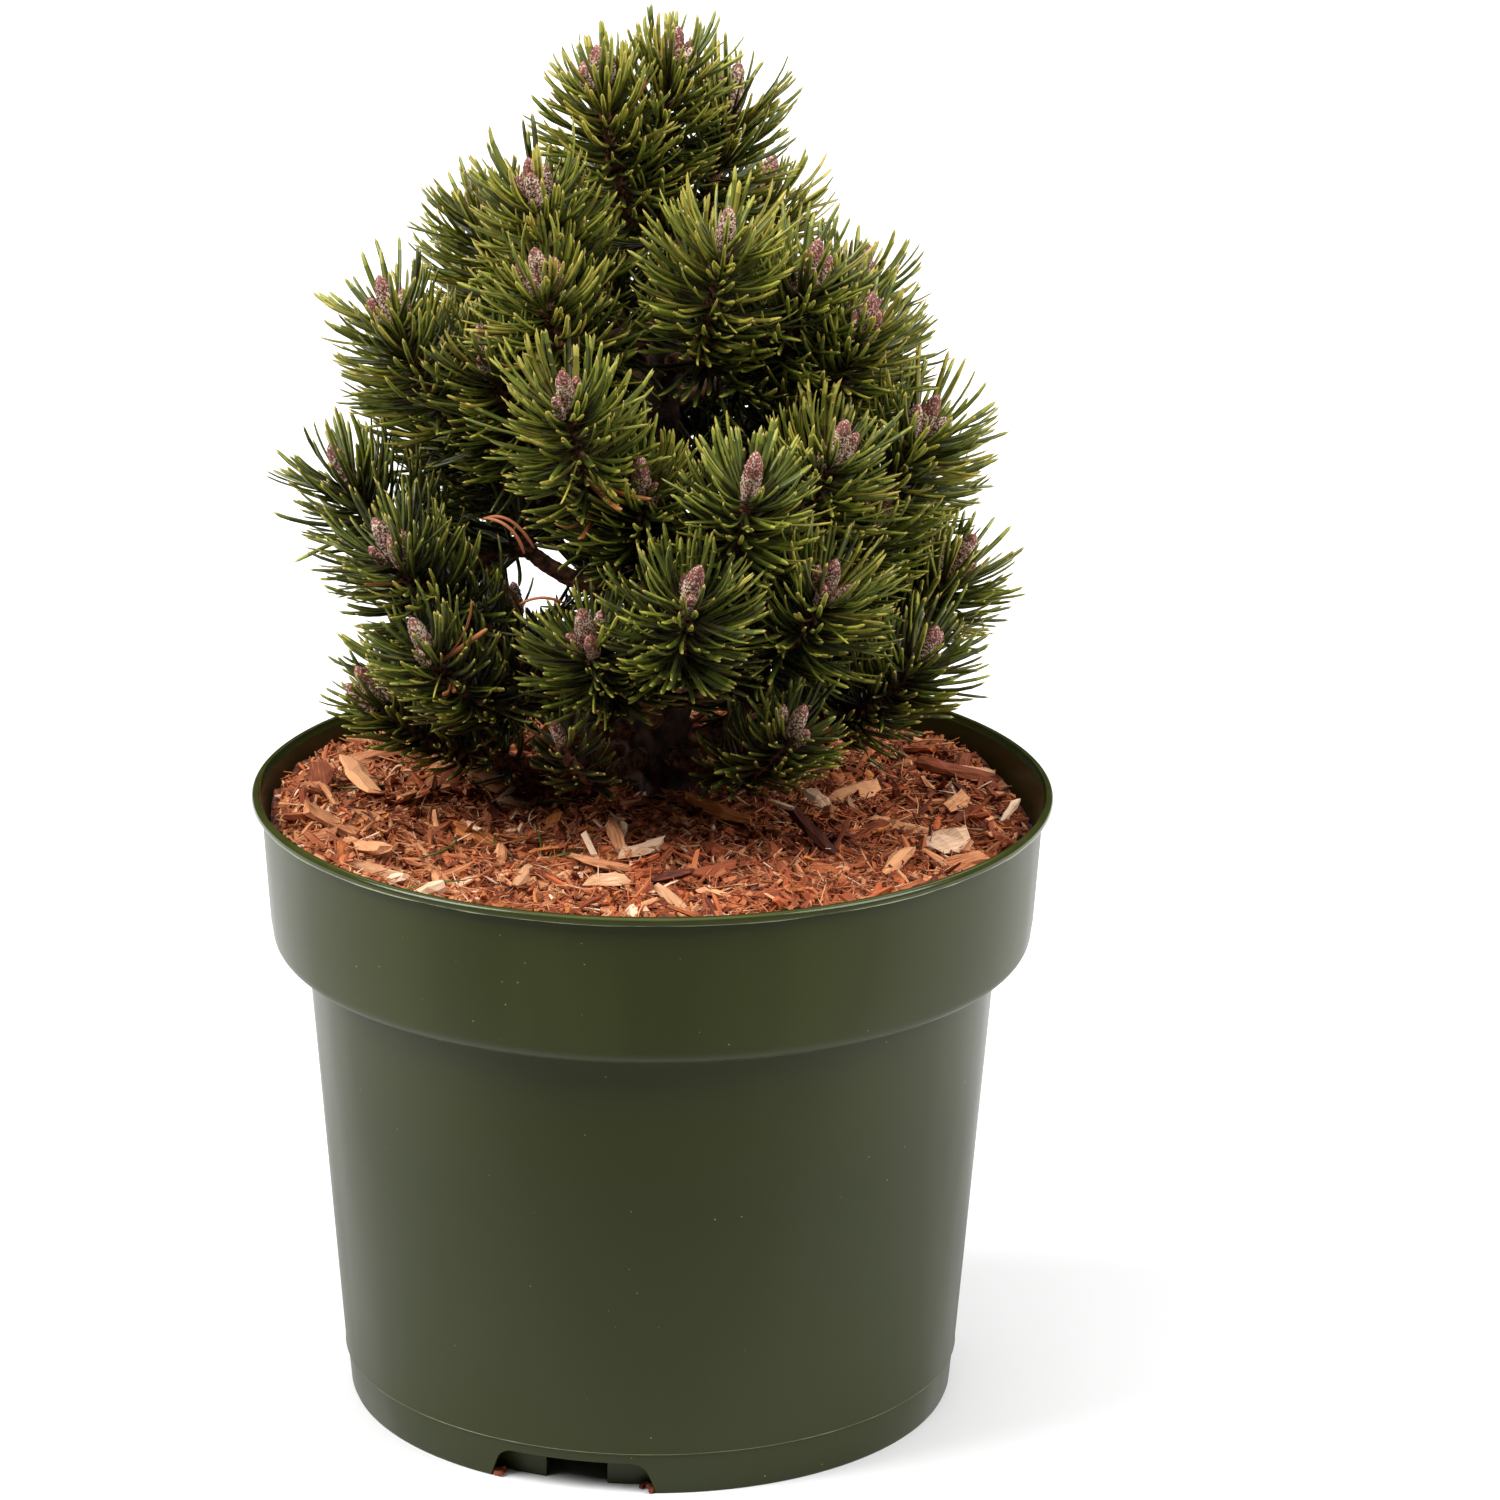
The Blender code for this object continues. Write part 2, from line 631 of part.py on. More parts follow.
def core_radii(path, owner, space):
    """A thin stem that swells into a shoot's core, drawn in where room is short."""
    stems = len(path) - len(CORE_SHAPE)
    room, limb = space.room(path[stems:], owner)
    allowed = np.minimum(room, limb) - CLEARANCE
    core = np.minimum(CORE_RADIUS * np.array(CORE_SHAPE), allowed)
    return np.concatenate([[TWIG_RADIUS] * stems, np.maximum(core, TWIG_RADIUS * 0.8)])


def standing_on(root, tip, roll):
    """The matrix that carries a shape centred on Z to the line from a root to a tip."""
    along = Vector(tip - root)
    turn = along.to_track_quat("Z", "Y").to_matrix().to_4x4()
    middle = Matrix.Translation(Vector((root + tip) / 2))
    return middle @ turn @ Matrix.Rotation(roll, 4, "Z")


def needle(root, tip, roll, collection):
    """One needle, three-sided and larger than life, that tapers to a point."""
    work = bmesh.new()
    place = standing_on(root, tip, roll)
    length = math.dist(root, tip)
    bmesh.ops.create_cone(
        work, cap_ends=True, segments=3, radius1=NEEDLE_ROOT, radius2=0.0, depth=length, matrix=place
    )
    bmesh.ops.remove_doubles(work, verts=work.verts, dist=1e-6)
    return from_bmesh("needle", work, collection)


def bud(root, direction, scale, collection):
    """One winter bud: a pointed spindle with its foot sunk in the shoot's tip."""
    length = BUD_LENGTH * scale
    widest = root + direction * length * BUD_WIDEST
    work = bmesh.new()
    for end in (root - direction * length * BUD_SUNK, root + direction * length):
        bmesh.ops.create_cone(
            work,
            cap_ends=False,
            segments=5,
            radius1=BUD_RADIUS * scale,
            radius2=0.0,
            depth=math.dist(widest, end),
            matrix=standing_on(widest, end, 0.0),
        )
    bmesh.ops.remove_doubles(work, verts=work.verts, dist=1e-6)
    bmesh.ops.recalc_face_normals(work, faces=work.faces)
    return from_bmesh("bud", work, collection)


def leaning(axis, lean, around):
    """A direction that leans off an axis by an angle, at a bearing round it."""
    side = unit(np.cross(axis, (0.31, 0.95, 0.02)))
    other = np.cross(axis, side)
    return axis * math.cos(lean) + (side * math.cos(around) + other * math.sin(around)) * math.sin(lean)


def shoot_needles(path, owner, space, rng, collection):
    """A shoot's needles, in a spiral up its head. One that has no room is cut shorter,
    and skipped where too little of it would be left."""
    foot, tip = path[-len(CORE_SHAPE)], path[-1]
    axis = unit(tip - foot)
    spin = rng.uniform(0.0, math.tau)
    needles = []
    for index in range(NEEDLE_COUNT):
        share = (index + 0.5) / NEEDLE_COUNT
        root = foot + (tip - foot) * share * NEEDLE_HIGHEST
        lean = NEEDLE_LEAN_FOOT + (NEEDLE_LEAN_TIP - NEEDLE_LEAN_FOOT) * share + rng.uniform(-6, 6)
        heading = leaning(axis, math.radians(lean), spin + index * GOLDEN_ANGLE)
        length = NEEDLE_LENGTH * rng.uniform(0.92, 1.08)
        ends = [root + heading * length * share for share in NEEDLE_CUTS]
        clear = [end for end in ends if space.is_clear(root, end, owner)]
        if clear:
            needles.append(needle(root, clear[0], rng.uniform(0.0, math.tau), collection))
    return needles


def shoot_buds(path, rng, collection):
    """A shoot's winter buds: one in the middle, and one beside it."""
    axis = unit(path[-1] - path[-2])
    side = leaning(axis, math.radians(SIDE_BUD_LEAN), rng.uniform(0.0, math.tau))
    tip = path[-1]
    return [bud(tip, axis, 1.0, collection), bud(tip, side, SIDE_BUD_SHARE, collection)]


def build_mass(mass, owner, space, rng, collection, material):
    """A mass of needles as one solid, joined by one union."""
    twigs = [
        tube(f"{mass.name}_{index}", path, core_radii(path, owner, space), collection, 0)
        for index, path in enumerate(mass.paths)
    ]
    pieces = twigs[1:]
    for path in mass.paths:
        pieces += shoot_needles(path, owner, space, rng, collection)
        pieces += shoot_buds(path, rng, collection)
    whole = joined(twigs[0], pieces, material)
    whole.name = mass.name
    return whole


def main():
    """Builds the potted pine from nothing."""
    for obj in list(bpy.data.objects):
        bpy.data.objects.remove(obj)
    parts = new_collection("mugo_pine_in_pot")
    cutters = new_collection("cutters")
    plastic = new_material("pot_plastic", (0.045, 0.055, 0.022), 0.42)
    earth = new_material("potting_soil", (0.030, 0.018, 0.010), 0.95)
    bark_chips = new_material("bark_mulch", (0.360, 0.150, 0.070), 0.90)
    bark = new_material("bark", (0.060, 0.036, 0.022), 0.90)
    foliage = new_material("needles", (0.060, 0.120, 0.022), 0.55)

    build_pot(parts, cutters, plastic)
    build_soil(parts, earth)
    build_mulch(parts, bark_chips)
    trunk = trunk_limb()
    tube("trunk", trunk.path, trunk.radii, parts, 3).data.materials.append(bark)
    keep_off = tube("trunk_clearance", trunk.path, trunk.radii + GAP, cutters, 3)

    boughs = all_boughs()
    limbs = grow_boughs(boughs)
    for name, limb in limbs.items():
        bough = tube("bough_" + name, limb.path, limb.radii, parts)
        bough.data.materials.append(bark)
        cut(bough, keep_off)

    masses = all_masses(boughs, limbs)
    space = Space(masses, [trunk, *limbs.values()])
    for owner, mass in enumerate(masses):
        rng = random.Random(SEED + owner)
        build_mass(mass, owner, space, rng, parts, foliage)
    for obj in parts.objects:
        if obj.name in ("pot", "trunk") or obj.name.startswith("bough"):
            obj.data.shade_smooth()


if __name__ == "__main__":
    main()
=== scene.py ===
"""Mugo pine in a nursery pot: the finished surfaces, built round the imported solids.

The pot is moulded plastic, the mulch is thousands of loose chips and fibres, and the
plant grows by the same rule as its solids: a trunk, boughs that fork off it, and
shoots whose tips fill the crown's outline, each clothed in pairs of needles and
ending in winter buds. Units are metres and +Z is up. Bearings are in degrees round
the trunk: 0 is the side that the camera looks at and 90 is its right.
"""

from __future__ import annotations

import logging
import math
from dataclasses import dataclass, field, replace
from enum import Enum

import bpy
import numpy as np
from mathutils import Matrix, Vector

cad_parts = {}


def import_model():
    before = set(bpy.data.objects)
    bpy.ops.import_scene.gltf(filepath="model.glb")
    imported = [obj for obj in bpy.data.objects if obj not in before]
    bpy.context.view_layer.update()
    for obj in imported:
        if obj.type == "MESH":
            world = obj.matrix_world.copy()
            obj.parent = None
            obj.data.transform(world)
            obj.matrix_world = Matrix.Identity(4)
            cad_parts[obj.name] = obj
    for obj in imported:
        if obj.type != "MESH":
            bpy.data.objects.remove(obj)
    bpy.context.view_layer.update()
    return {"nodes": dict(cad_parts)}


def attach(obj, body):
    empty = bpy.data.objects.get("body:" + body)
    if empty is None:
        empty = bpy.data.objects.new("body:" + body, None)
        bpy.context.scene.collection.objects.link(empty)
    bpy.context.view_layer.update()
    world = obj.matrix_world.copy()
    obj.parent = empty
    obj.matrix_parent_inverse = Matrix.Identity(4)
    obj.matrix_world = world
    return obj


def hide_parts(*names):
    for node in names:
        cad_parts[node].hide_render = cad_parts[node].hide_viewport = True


LOG = logging.getLogger("potted_pine")
Array = np.ndarray
Point = tuple[float, float, float]
MM = 0.001
GOLDEN_ANGLE = math.radians(137.508)
UP = np.array([0.0, 0.0, 1.0])
POLYPROPYLENE_IOR = 1.49
WAX_IOR = 1.46
GLOSS_SOCKET = "Specular IOR Level"
BODY = "root"


# Colour and nodes


def linear(code: str) -> tuple[float, float, float, float]:
    """An sRGB hex colour as linear red, green, blue and alpha."""
    parts = [int(code[i : i + 2], 16) / 255 for i in (1, 3, 5)]
    return (*[p / 12.92 if p <= 0.04045 else ((p + 0.055) / 1.055) ** 2.4 for p in parts], 1.0)


def node(tree, kind: str, values: dict | None = None, links: dict | None = None, **settings):
    """Adds a shader node.

    Args:
        tree: The node tree.
        kind: The node's Blender type.
        values: Numbers or colours for its unlinked sockets.
        links: Output sockets that feed its inputs.
        settings: The node's own properties.

    Returns:
        The new node.
    """
    made = tree.nodes.new(kind)
    for key, value in settings.items():
        setattr(made, key, value)
    for key, value in (values or {}).items():
        made.inputs[key].default_value = value
    for key, source in (links or {}).items():
        tree.links.new(source, made.inputs[key])
    return made


class Surface:
    """A material under construction: its tree, its shader and its coordinates."""

    def __init__(self, name: str, roughness: float, ior: float = 1.5, grained: bool = False) -> None:
        """Starts a Principled material.

        Args:
            name: The material's name.
            roughness: The shader's roughness.
            ior: The shader's index of refraction.
            grained: Whether patterns follow the piece's own UV map, in metres.
        """
        self.material = bpy.data.materials.new(name)
        self.material.use_nodes = True
        self.tree = self.material.node_tree
        self.shader = self.tree.nodes["Principled BSDF"]
        self.shader.inputs["Roughness"].default_value = roughness
        self.shader.inputs["IOR"].default_value = ior
        self.place = node(self.tree, "ShaderNodeTexCoord").outputs["UV" if grained else "Object"]

    def noise(self, size_mm: float, detail: float = 3.0, stretch=(1.0, 1.0, 1.0)):
        """Noise whose blotches are about a size across, as an output from 0 to 1."""
        scale = {"Scale": [s / (size_mm * MM) for s in stretch]}
        mapped = node(self.tree, "ShaderNodeMapping", scale, {"Vector": self.place})
        values, links = {"Scale": 1.0, "Detail": detail}, {"Vector": mapped.outputs["Vector"]}
        return node(self.tree, "ShaderNodeTexNoise", values, links).outputs["Fac"]

    def cells(self, size_mm: float):
        """The distance to the nearest of points a size apart, as a share of that size."""
        scale = {"Scale": 1.0 / (size_mm * MM)}
        return node(self.tree, "ShaderNodeTexVoronoi", scale, {"Vector": self.place}).outputs["Distance"]

    def ranged(self, source, low: float, high: float, to_low: float = 0.0, to_high: float = 1.0):
        """A value carried from one range to another and clamped there."""
        values = {"From Min": low, "From Max": high, "To Min": to_low, "To Max": to_high}
        return node(self.tree, "ShaderNodeMapRange", values, {"Value": source}).outputs["Result"]

    def blend(self, share, first, second):
        """A colour between two, each a hex code or an output, by a share from 0 to 1."""
        made = node(self.tree, "ShaderNodeMix", links={"Factor": share}, data_type="RGBA")
        sockets = [s for s in made.inputs if s.type == "RGBA"]
        for socket, colour in zip(sockets, (first, second)):
            if isinstance(colour, str):
                socket.default_value = linear(colour)
            else:
                self.tree.links.new(colour, socket)
        return [s for s in made.outputs if s.type == "RGBA"][0]

    def combine(self, operation: str, first, second):
        """Two outputs added, multiplied or the like, as one output."""
        links = {0: first, 1: second}
        return node(self.tree, "ShaderNodeMath", links=links, operation=operation).outputs[0]

    def gloss(self, level: float) -> None:
        """Sets how strongly the surface mirrors its surroundings."""
        self.shader.inputs[GLOSS_SOCKET].default_value = level

    def colour(self, source) -> None:
        """Sets the base colour from a hex code or an output."""
        if isinstance(source, str):
            self.shader.inputs["Base Color"].default_value = linear(source)
        else:
            self.tree.links.new(source, self.shader.inputs["Base Color"])

    def rough(self, source) -> None:
        """Drives the roughness from an output."""
        self.tree.links.new(source, self.shader.inputs["Roughness"])

    def bump(self, source, height_mm: float, strength: float = 1.0) -> None:
        """Raises the surface by an output, up to a height."""
        values = {"Strength": strength, "Distance": height_mm * MM}
        made = node(self.tree, "ShaderNodeBump", values, {"Height": source})
        self.tree.links.new(made.outputs["Normal"], self.shader.inputs["Normal"])


# Finishes


@dataclass(frozen=True)
class MouldedPolypropylene:
    """Injection-moulded polypropylene with a little garden dust.

    It gives the eye a dark green satin wall with one broad soft highlight, faint flow
    marks that run down it, painted shade that darkens it towards the foot, and a glossier lip.
    """

    body: str = "#2b300b"
    worn: str = "#30350f"
    # The foot colour is painted shade: the wall darkens towards its foot.
    foot: str = "#262b08"
    dust: str = "#9c8a5c"
    mud: str = "#6a3f22"
    roughness: float = 0.36
    gloss: float = 0.235
    lip_roughness: float = 0.17
    lip_gloss: float = 0.32
    flow_mm: float = 26.0
    lip_flow_mm: float = 9.0
    skin_mm: float = 0.55
    dusty_mm: float = 30.0
    speck_mm: float = 5.0
    dirt_mm: float = 34.0
    # The heights between which the painted shade at the foot comes in.
    foot_from: float = 0.135
    foot_to: float = 0.090

    def make(self) -> bpy.types.Material:
        """The material of the pot's wall."""
        skin = Surface("pot_moulded_polypropylene", self.roughness, POLYPROPYLENE_IOR)
        skin.gloss(self.gloss)
        flow = skin.noise(self.flow_mm, 2.0, (1.0, 1.0, 0.25))
        base = skin.blend(skin.ranged(flow, 0.35, 0.7), self.body, self.worn)
        height = node(skin.tree, "ShaderNodeSeparateXYZ", links={0: skin.place}).outputs["Z"]
        # Painted shade: the base colour turns to the foot colour towards the bottom of the wall.
        base = skin.blend(skin.ranged(height, self.foot_from, self.foot_to), base, self.foot)
        dusty = skin.ranged(skin.noise(self.dusty_mm), 0.49, 0.61)
        specks = skin.ranged(skin.cells(self.speck_mm), 0.050, 0.030)
        sparse = skin.combine("MULTIPLY", specks, dusty)
        dirt = skin.ranged(skin.cells(self.dirt_mm), 0.024, 0.012)
        base = skin.blend(sparse, base, self.dust)
        skin.colour(skin.blend(dirt, base, self.mud))
        fine = skin.noise(self.skin_mm, 2.0)
        skin.rough(skin.ranged(flow, 0.3, 0.7, self.roughness - 0.04, self.roughness + 0.07))
        skin.bump(fine, 0.02, 0.5)
        return skin.material

    def polished(self) -> bpy.types.Material:
        """The lip's material: the same plastic off a smoother part of the mould."""
        skin = Surface("pot_lip_polypropylene", self.lip_roughness, POLYPROPYLENE_IOR)
        skin.gloss(self.lip_gloss)
        uneven = skin.noise(self.lip_flow_mm, 2.0)
        skin.colour(skin.blend(skin.ranged(uneven, 0.35, 0.7), self.body, self.worn))
        skin.rough(skin.ranged(uneven, 0.3, 0.7, self.lip_roughness - 0.05, self.lip_roughness + 0.04))
        return skin.material


@dataclass(frozen=True)
class MouldFlash:
    """The bead of plastic that squeezes out where two halves of the mould meet.

    It gives the eye a broken pale thread on the dark wall. The bead is real, but its pale
    colour is painted light: a painted glow and highlight for light through the thin plastic.
    """

    name: str = "lip"
    # Both colours are painted highlight: lighter than the wall, as the bead catches light.
    dull: str = "#6f774a"
    pale: str = "#b3b888"

    def make(self) -> bpy.types.Material:
        """The material of the mould's parting line."""
        skin = Surface("mould_flash_" + self.name, 0.45, POLYPROPYLENE_IOR)
        skin.colour(skin.blend(skin.noise(5.0), self.dull, self.pale))
        return skin.material


@dataclass(frozen=True)
class ShreddedBark:
    """Shredded pine bark, torn along its grain, in one tone of its colour range.

    It gives the eye dry matt pieces with fibres along them. The grain follows each
    piece's UV map, drawn coarser than real fibres so that it shows. A second noise,
    much longer than a piece, makes some of them lighter and some darker.
    """

    name: str
    tone: str
    shade: str
    gloss: float = 0.30
    grain_mm: float = 0.55
    grain_length_mm: float = 6.0
    piece_mm: float = 60.0

    def make(self) -> bpy.types.Material:
        """The material of one tone of pieces."""
        skin = Surface("shredded_bark_" + self.name, 0.86, grained=True)
        skin.gloss(self.gloss)
        slim = self.grain_mm / self.grain_length_mm
        grain = skin.noise(self.grain_mm, 4.0, (slim, 1.0, 1.0))
        piece = skin.ranged(skin.noise(self.piece_mm, 0.0), 0.3, 0.7, -0.22, 0.22)
        both = skin.combine("ADD", grain, piece)
        skin.colour(skin.blend(skin.ranged(both, 0.30, 0.70), self.shade, self.tone))
        skin.bump(grain, 0.22, 0.8)
        return skin.material


@dataclass(frozen=True)
class MulchFines:
    """The dust and fine shreds under the loose bark.

    It gives the eye dark damp depths between the pieces, with lighter shreds in them.
    """

    light: str = "#94492a"
    dark: str = "#2a1009"
    shred_mm: float = 1.2

    def make(self) -> bpy.types.Material:
        """The material of the bed."""
        skin = Surface("mulch_fines", 0.92)
        shreds = skin.noise(self.shred_mm, 4.0)
        skin.colour(skin.blend(skin.ranged(shreds, 0.40, 0.72), self.dark, self.light))
        skin.bump(shreds, 0.5, 0.8)
        return skin.material


BARK_TONES = (
    ShreddedBark("russet", "#b5673e", "#6a3219"),
    ShreddedBark("fawn", "#cb9065", "#92522d"),
    ShreddedBark("umber", "#824024", "#411b0d"),
    ShreddedBark("sienna", "#a9562f", "#602912"),
    ShreddedBark("orange", "#bd723a", "#824219"),
    ShreddedBark("cream", "#d8b699", "#a87a56"),
    ShreddedBark("dark", "#4c2114", "#250f08"),
)


@dataclass(frozen=True)
class NeedleSkin:
    """A needle's waxy skin in one plain colour.

    It gives the eye a satin line with a soft highlight along it, and a finely uneven
    edge to that highlight.
    """

    name: str
    colour: str
    roughness: float = 0.37
    gloss: float = 0.58

    def make(self) -> bpy.types.Material:
        """The material of one zone of one tone of needle."""
        skin = Surface("needle_" + self.name, self.roughness, WAX_IOR)
        skin.gloss(self.gloss)
        skin.colour(self.colour)
        skin.bump(skin.noise(0.5, 2.0), 0.03, 0.5)
        return skin.material


NEEDLE_ZONES = ("base", "middle", "end")
# Each base colour is browner and darker than its middle: partly the needle's own, partly painted shade.
NEEDLE_TONES = (
    ("deep", ("#2a2613", "#363716", "#51541e")),
    ("forest", ("#302d14", "#414718", "#626a23")),
    ("leaf", ("#393815", "#4d581a", "#787c2b")),
    ("fresh", ("#474818", "#636a20", "#929336")),
    ("olive", ("#564f1e", "#7b752a", "#aca044")),
)
SHEATH = NeedleSkin("sheath", "#6c4029", 0.7)
TIP = NeedleSkin("tip", "#9d8b37", 0.5)
DRY = NeedleSkin("dry", "#93582a", 0.65)
CAUGHT = NeedleSkin("caught", "#96552e", 0.6)
FALLEN = (NeedleSkin("fallen_green", "#465a22"), NeedleSkin("fallen_brown", "#7a4a22"))


@dataclass(frozen=True)
class ResinousBud:
    """Bud scales glued together by their own resin, which has dried.

    It gives the eye reddish brown and mauve scales under a broken whitish crust.
    """

    name: str
    scale_brown: str = "#4e271e"
    mauve: str = "#7a493c"
    resin: str = "#d6bea8"
    crust: float = 0.49
    patch_mm: float = 2.4
    crust_mm: float = 0.60

    def make(self) -> bpy.types.Material:
        """The material of the winter buds."""
        skin = Surface("resinous_bud_" + self.name, 0.6)
        patches = skin.ranged(skin.noise(self.patch_mm), 0.40, 0.60)
        base = skin.blend(patches, self.scale_brown, self.mauve)
        crust = skin.ranged(skin.noise(self.crust_mm), self.crust, self.crust + 0.07)
        skin.colour(skin.blend(crust, base, self.resin))
        skin.bump(skin.noise(self.crust_mm), 0.15, 0.8)
        return skin.material


RED_TIP = ResinousBud("tip", "#602a21", "#81463a", "#c4a597", 0.54)


@dataclass(frozen=True)
class PineBark:
    """Pine bark, grown in scales.

    It gives the eye matt dark brown hollows and lighter, greyer scales between them.
    """

    name: str
    dark: str
    light: str
    scale_mm: float
    relief_mm: float

    def make(self) -> bpy.types.Material:
        """The material of a trunk or a twig."""
        skin = Surface("pine_bark_" + self.name, 0.85)
        patches = skin.ranged(skin.noise(self.scale_mm, 5.0), 0.38, 0.66)
        skin.colour(skin.blend(patches, self.dark, self.light))
        skin.bump(skin.noise(self.scale_mm * 0.3, 4.0), self.relief_mm, 0.8)
        return skin.material


TRUNK_BARK = PineBark("trunk", "#22140e", "#5a4132", 4.0, 0.8)
TWIG_BARK = PineBark("twig", "#2c170e", "#8a5a3c", 1.8, 0.3)


@dataclass(frozen=True)
class PottingSoil:
    """Moist potting soil, pressed in by hand.

    It gives the eye something nearly black and crumbly in the drain slots.
    """

    def make(self) -> bpy.types.Material:
        """The material of the soil that shows in the drain slots."""
        skin = Surface("moist_potting_soil", 0.95)
        skin.colour(skin.blend(skin.noise(2.0, 4.0), "#1a100a", "#3a281a"))
        skin.bump(skin.noise(1.5, 4.0), 0.8)
        return skin.material


@dataclass(frozen=True)
class StudioSweep:
    """Matt white painted board under and behind the plant.

    It gives the eye a plain pale ground, with painted shade that makes it greyer in front.
    """

    # The near colour is painted shade: the board greys towards the front.
    near: str = "#868686"
    far: str = "#d2d2d2"
    start: float = -0.36
    end: float = -0.08

    def make(self) -> bpy.types.Material:
        """The material of the studio floor."""
        skin = Surface("matt_white_board_painted_shade", 0.9)
        parts = node(skin.tree, "ShaderNodeSeparateXYZ", links={0: skin.place})
        span = {"From Min": self.start, "From Max": self.end}
        depth = {"Value": parts.outputs["Y"]}
        smooth = node(skin.tree, "ShaderNodeMapRange", span, depth, interpolation_type="SMOOTHSTEP")
        # Painted shade: the floor's colour runs from grey in front to white behind.
        skin.colour(skin.blend(smooth.outputs["Result"], self.near, self.far))
        return skin.material


# Shapes


HASH_PRIMES = (73856093, 19349663, 83492791)
HASH_SEED, HASH_FIRST, HASH_SECOND = 7919, 1274126177, 2246822519


def lattice_noise(points: Array, cell: float, seed: int = 0) -> Array:
    """Smooth noise from -1 to 1.

    Random values sit at the corners of cubic cells, each scrambled from its corner's
    whole numbers by large primes. Inside a cell they are mixed by t * t * (3 - 2 * t)
    along each axis.

    Args:
        points: Places, with the three coordinates on the last axis.
        cell: The side of a cell.
        seed: Picks another pattern.

    Returns:
        One value for each place.
    """
    scaled = points / cell
    base = np.floor(scaled).astype(np.int64)
    t = scaled - base
    t = t * t * (3.0 - 2.0 * t)
    total = np.zeros(points.shape[:-1])
    for corner in np.ndindex(2, 2, 2):
        at = base + np.array(corner)
        x, y, z = (at[..., k] * prime for k, prime in enumerate(HASH_PRIMES))
        mixed = ((x ^ y ^ z) + seed * HASH_SEED) * HASH_FIRST
        mixed = (mixed ^ (mixed >> 15)) * HASH_SECOND
        value = ((mixed >> 13) & 0xFFFF) / 32767.5 - 1.0
        weight = np.prod(np.where(np.array(corner) == 1, t, 1.0 - t), axis=-1)
        total += weight * value
    return total


def unit(vectors: Array) -> Array:
    """Vectors scaled to length one along the last axis."""
    return vectors / np.maximum(np.linalg.norm(vectors, axis=-1, keepdims=True), 1e-12)


def side_axes(axis: Array) -> tuple[Array, Array]:
    """Two unit vectors at right angles to each axis and to each other."""
    helper = np.where(np.abs(axis[..., 2:3]) < 0.9, [0.0, 0.0, 1.0], [1.0, 0.0, 0.0])
    side = unit(np.cross(axis, helper))
    return side, np.cross(axis, side)


def turns(count: int) -> Array:
    """Angles spaced evenly once round, from 0."""
    return np.linspace(0.0, math.tau, count, endpoint=False)


def level_ring(turn: Array) -> Array:
    """The directions (sin a, -cos a, 0), which point away from the pot's axis."""
    return np.stack([np.sin(turn), -np.cos(turn), np.zeros(len(turn))], -1)


def run_along(path: Array) -> Array:
    """How far each point of a path is from its start, along the path."""
    return np.concatenate([[0.0], np.cumsum(np.linalg.norm(np.diff(path, axis=0), axis=1))])


def grid_quads(rows: int, columns: int) -> Array:
    """The four corners of each cell of a grid whose rows close on themselves."""
    across = np.arange(columns)
    row = np.arange(rows - 1)[:, None] * columns
    right = (across + 1) % columns
    cells = np.stack([row + across, row + right, row + columns + right, row + columns + across], -1)
    return cells.reshape(-1, 4)


def closed_tube(rows: int, columns: int, reverse: bool = False) -> list[Array]:
    """The faces of a tube whose ends close on two more points, after the grid's own.

    Args:
        rows: The number of rings.
        columns: The number of points round each ring.
        reverse: Whether the faces are turned the other way.

    Returns:
        The quads of the side, and the triangles of the first end and of the last.
    """
    around = np.arange(columns)
    after = (around + 1) % columns
    ahead, behind = (around, after) if reverse else (after, around)
    pole, last = np.full(columns, rows * columns), (rows - 1) * columns
    quads = grid_quads(rows, columns)
    return [
        quads[:, ::-1] if reverse else quads,
        np.stack([pole, ahead, behind], -1),
        np.stack([pole + 1, last + behind, last + ahead], -1),
    ]


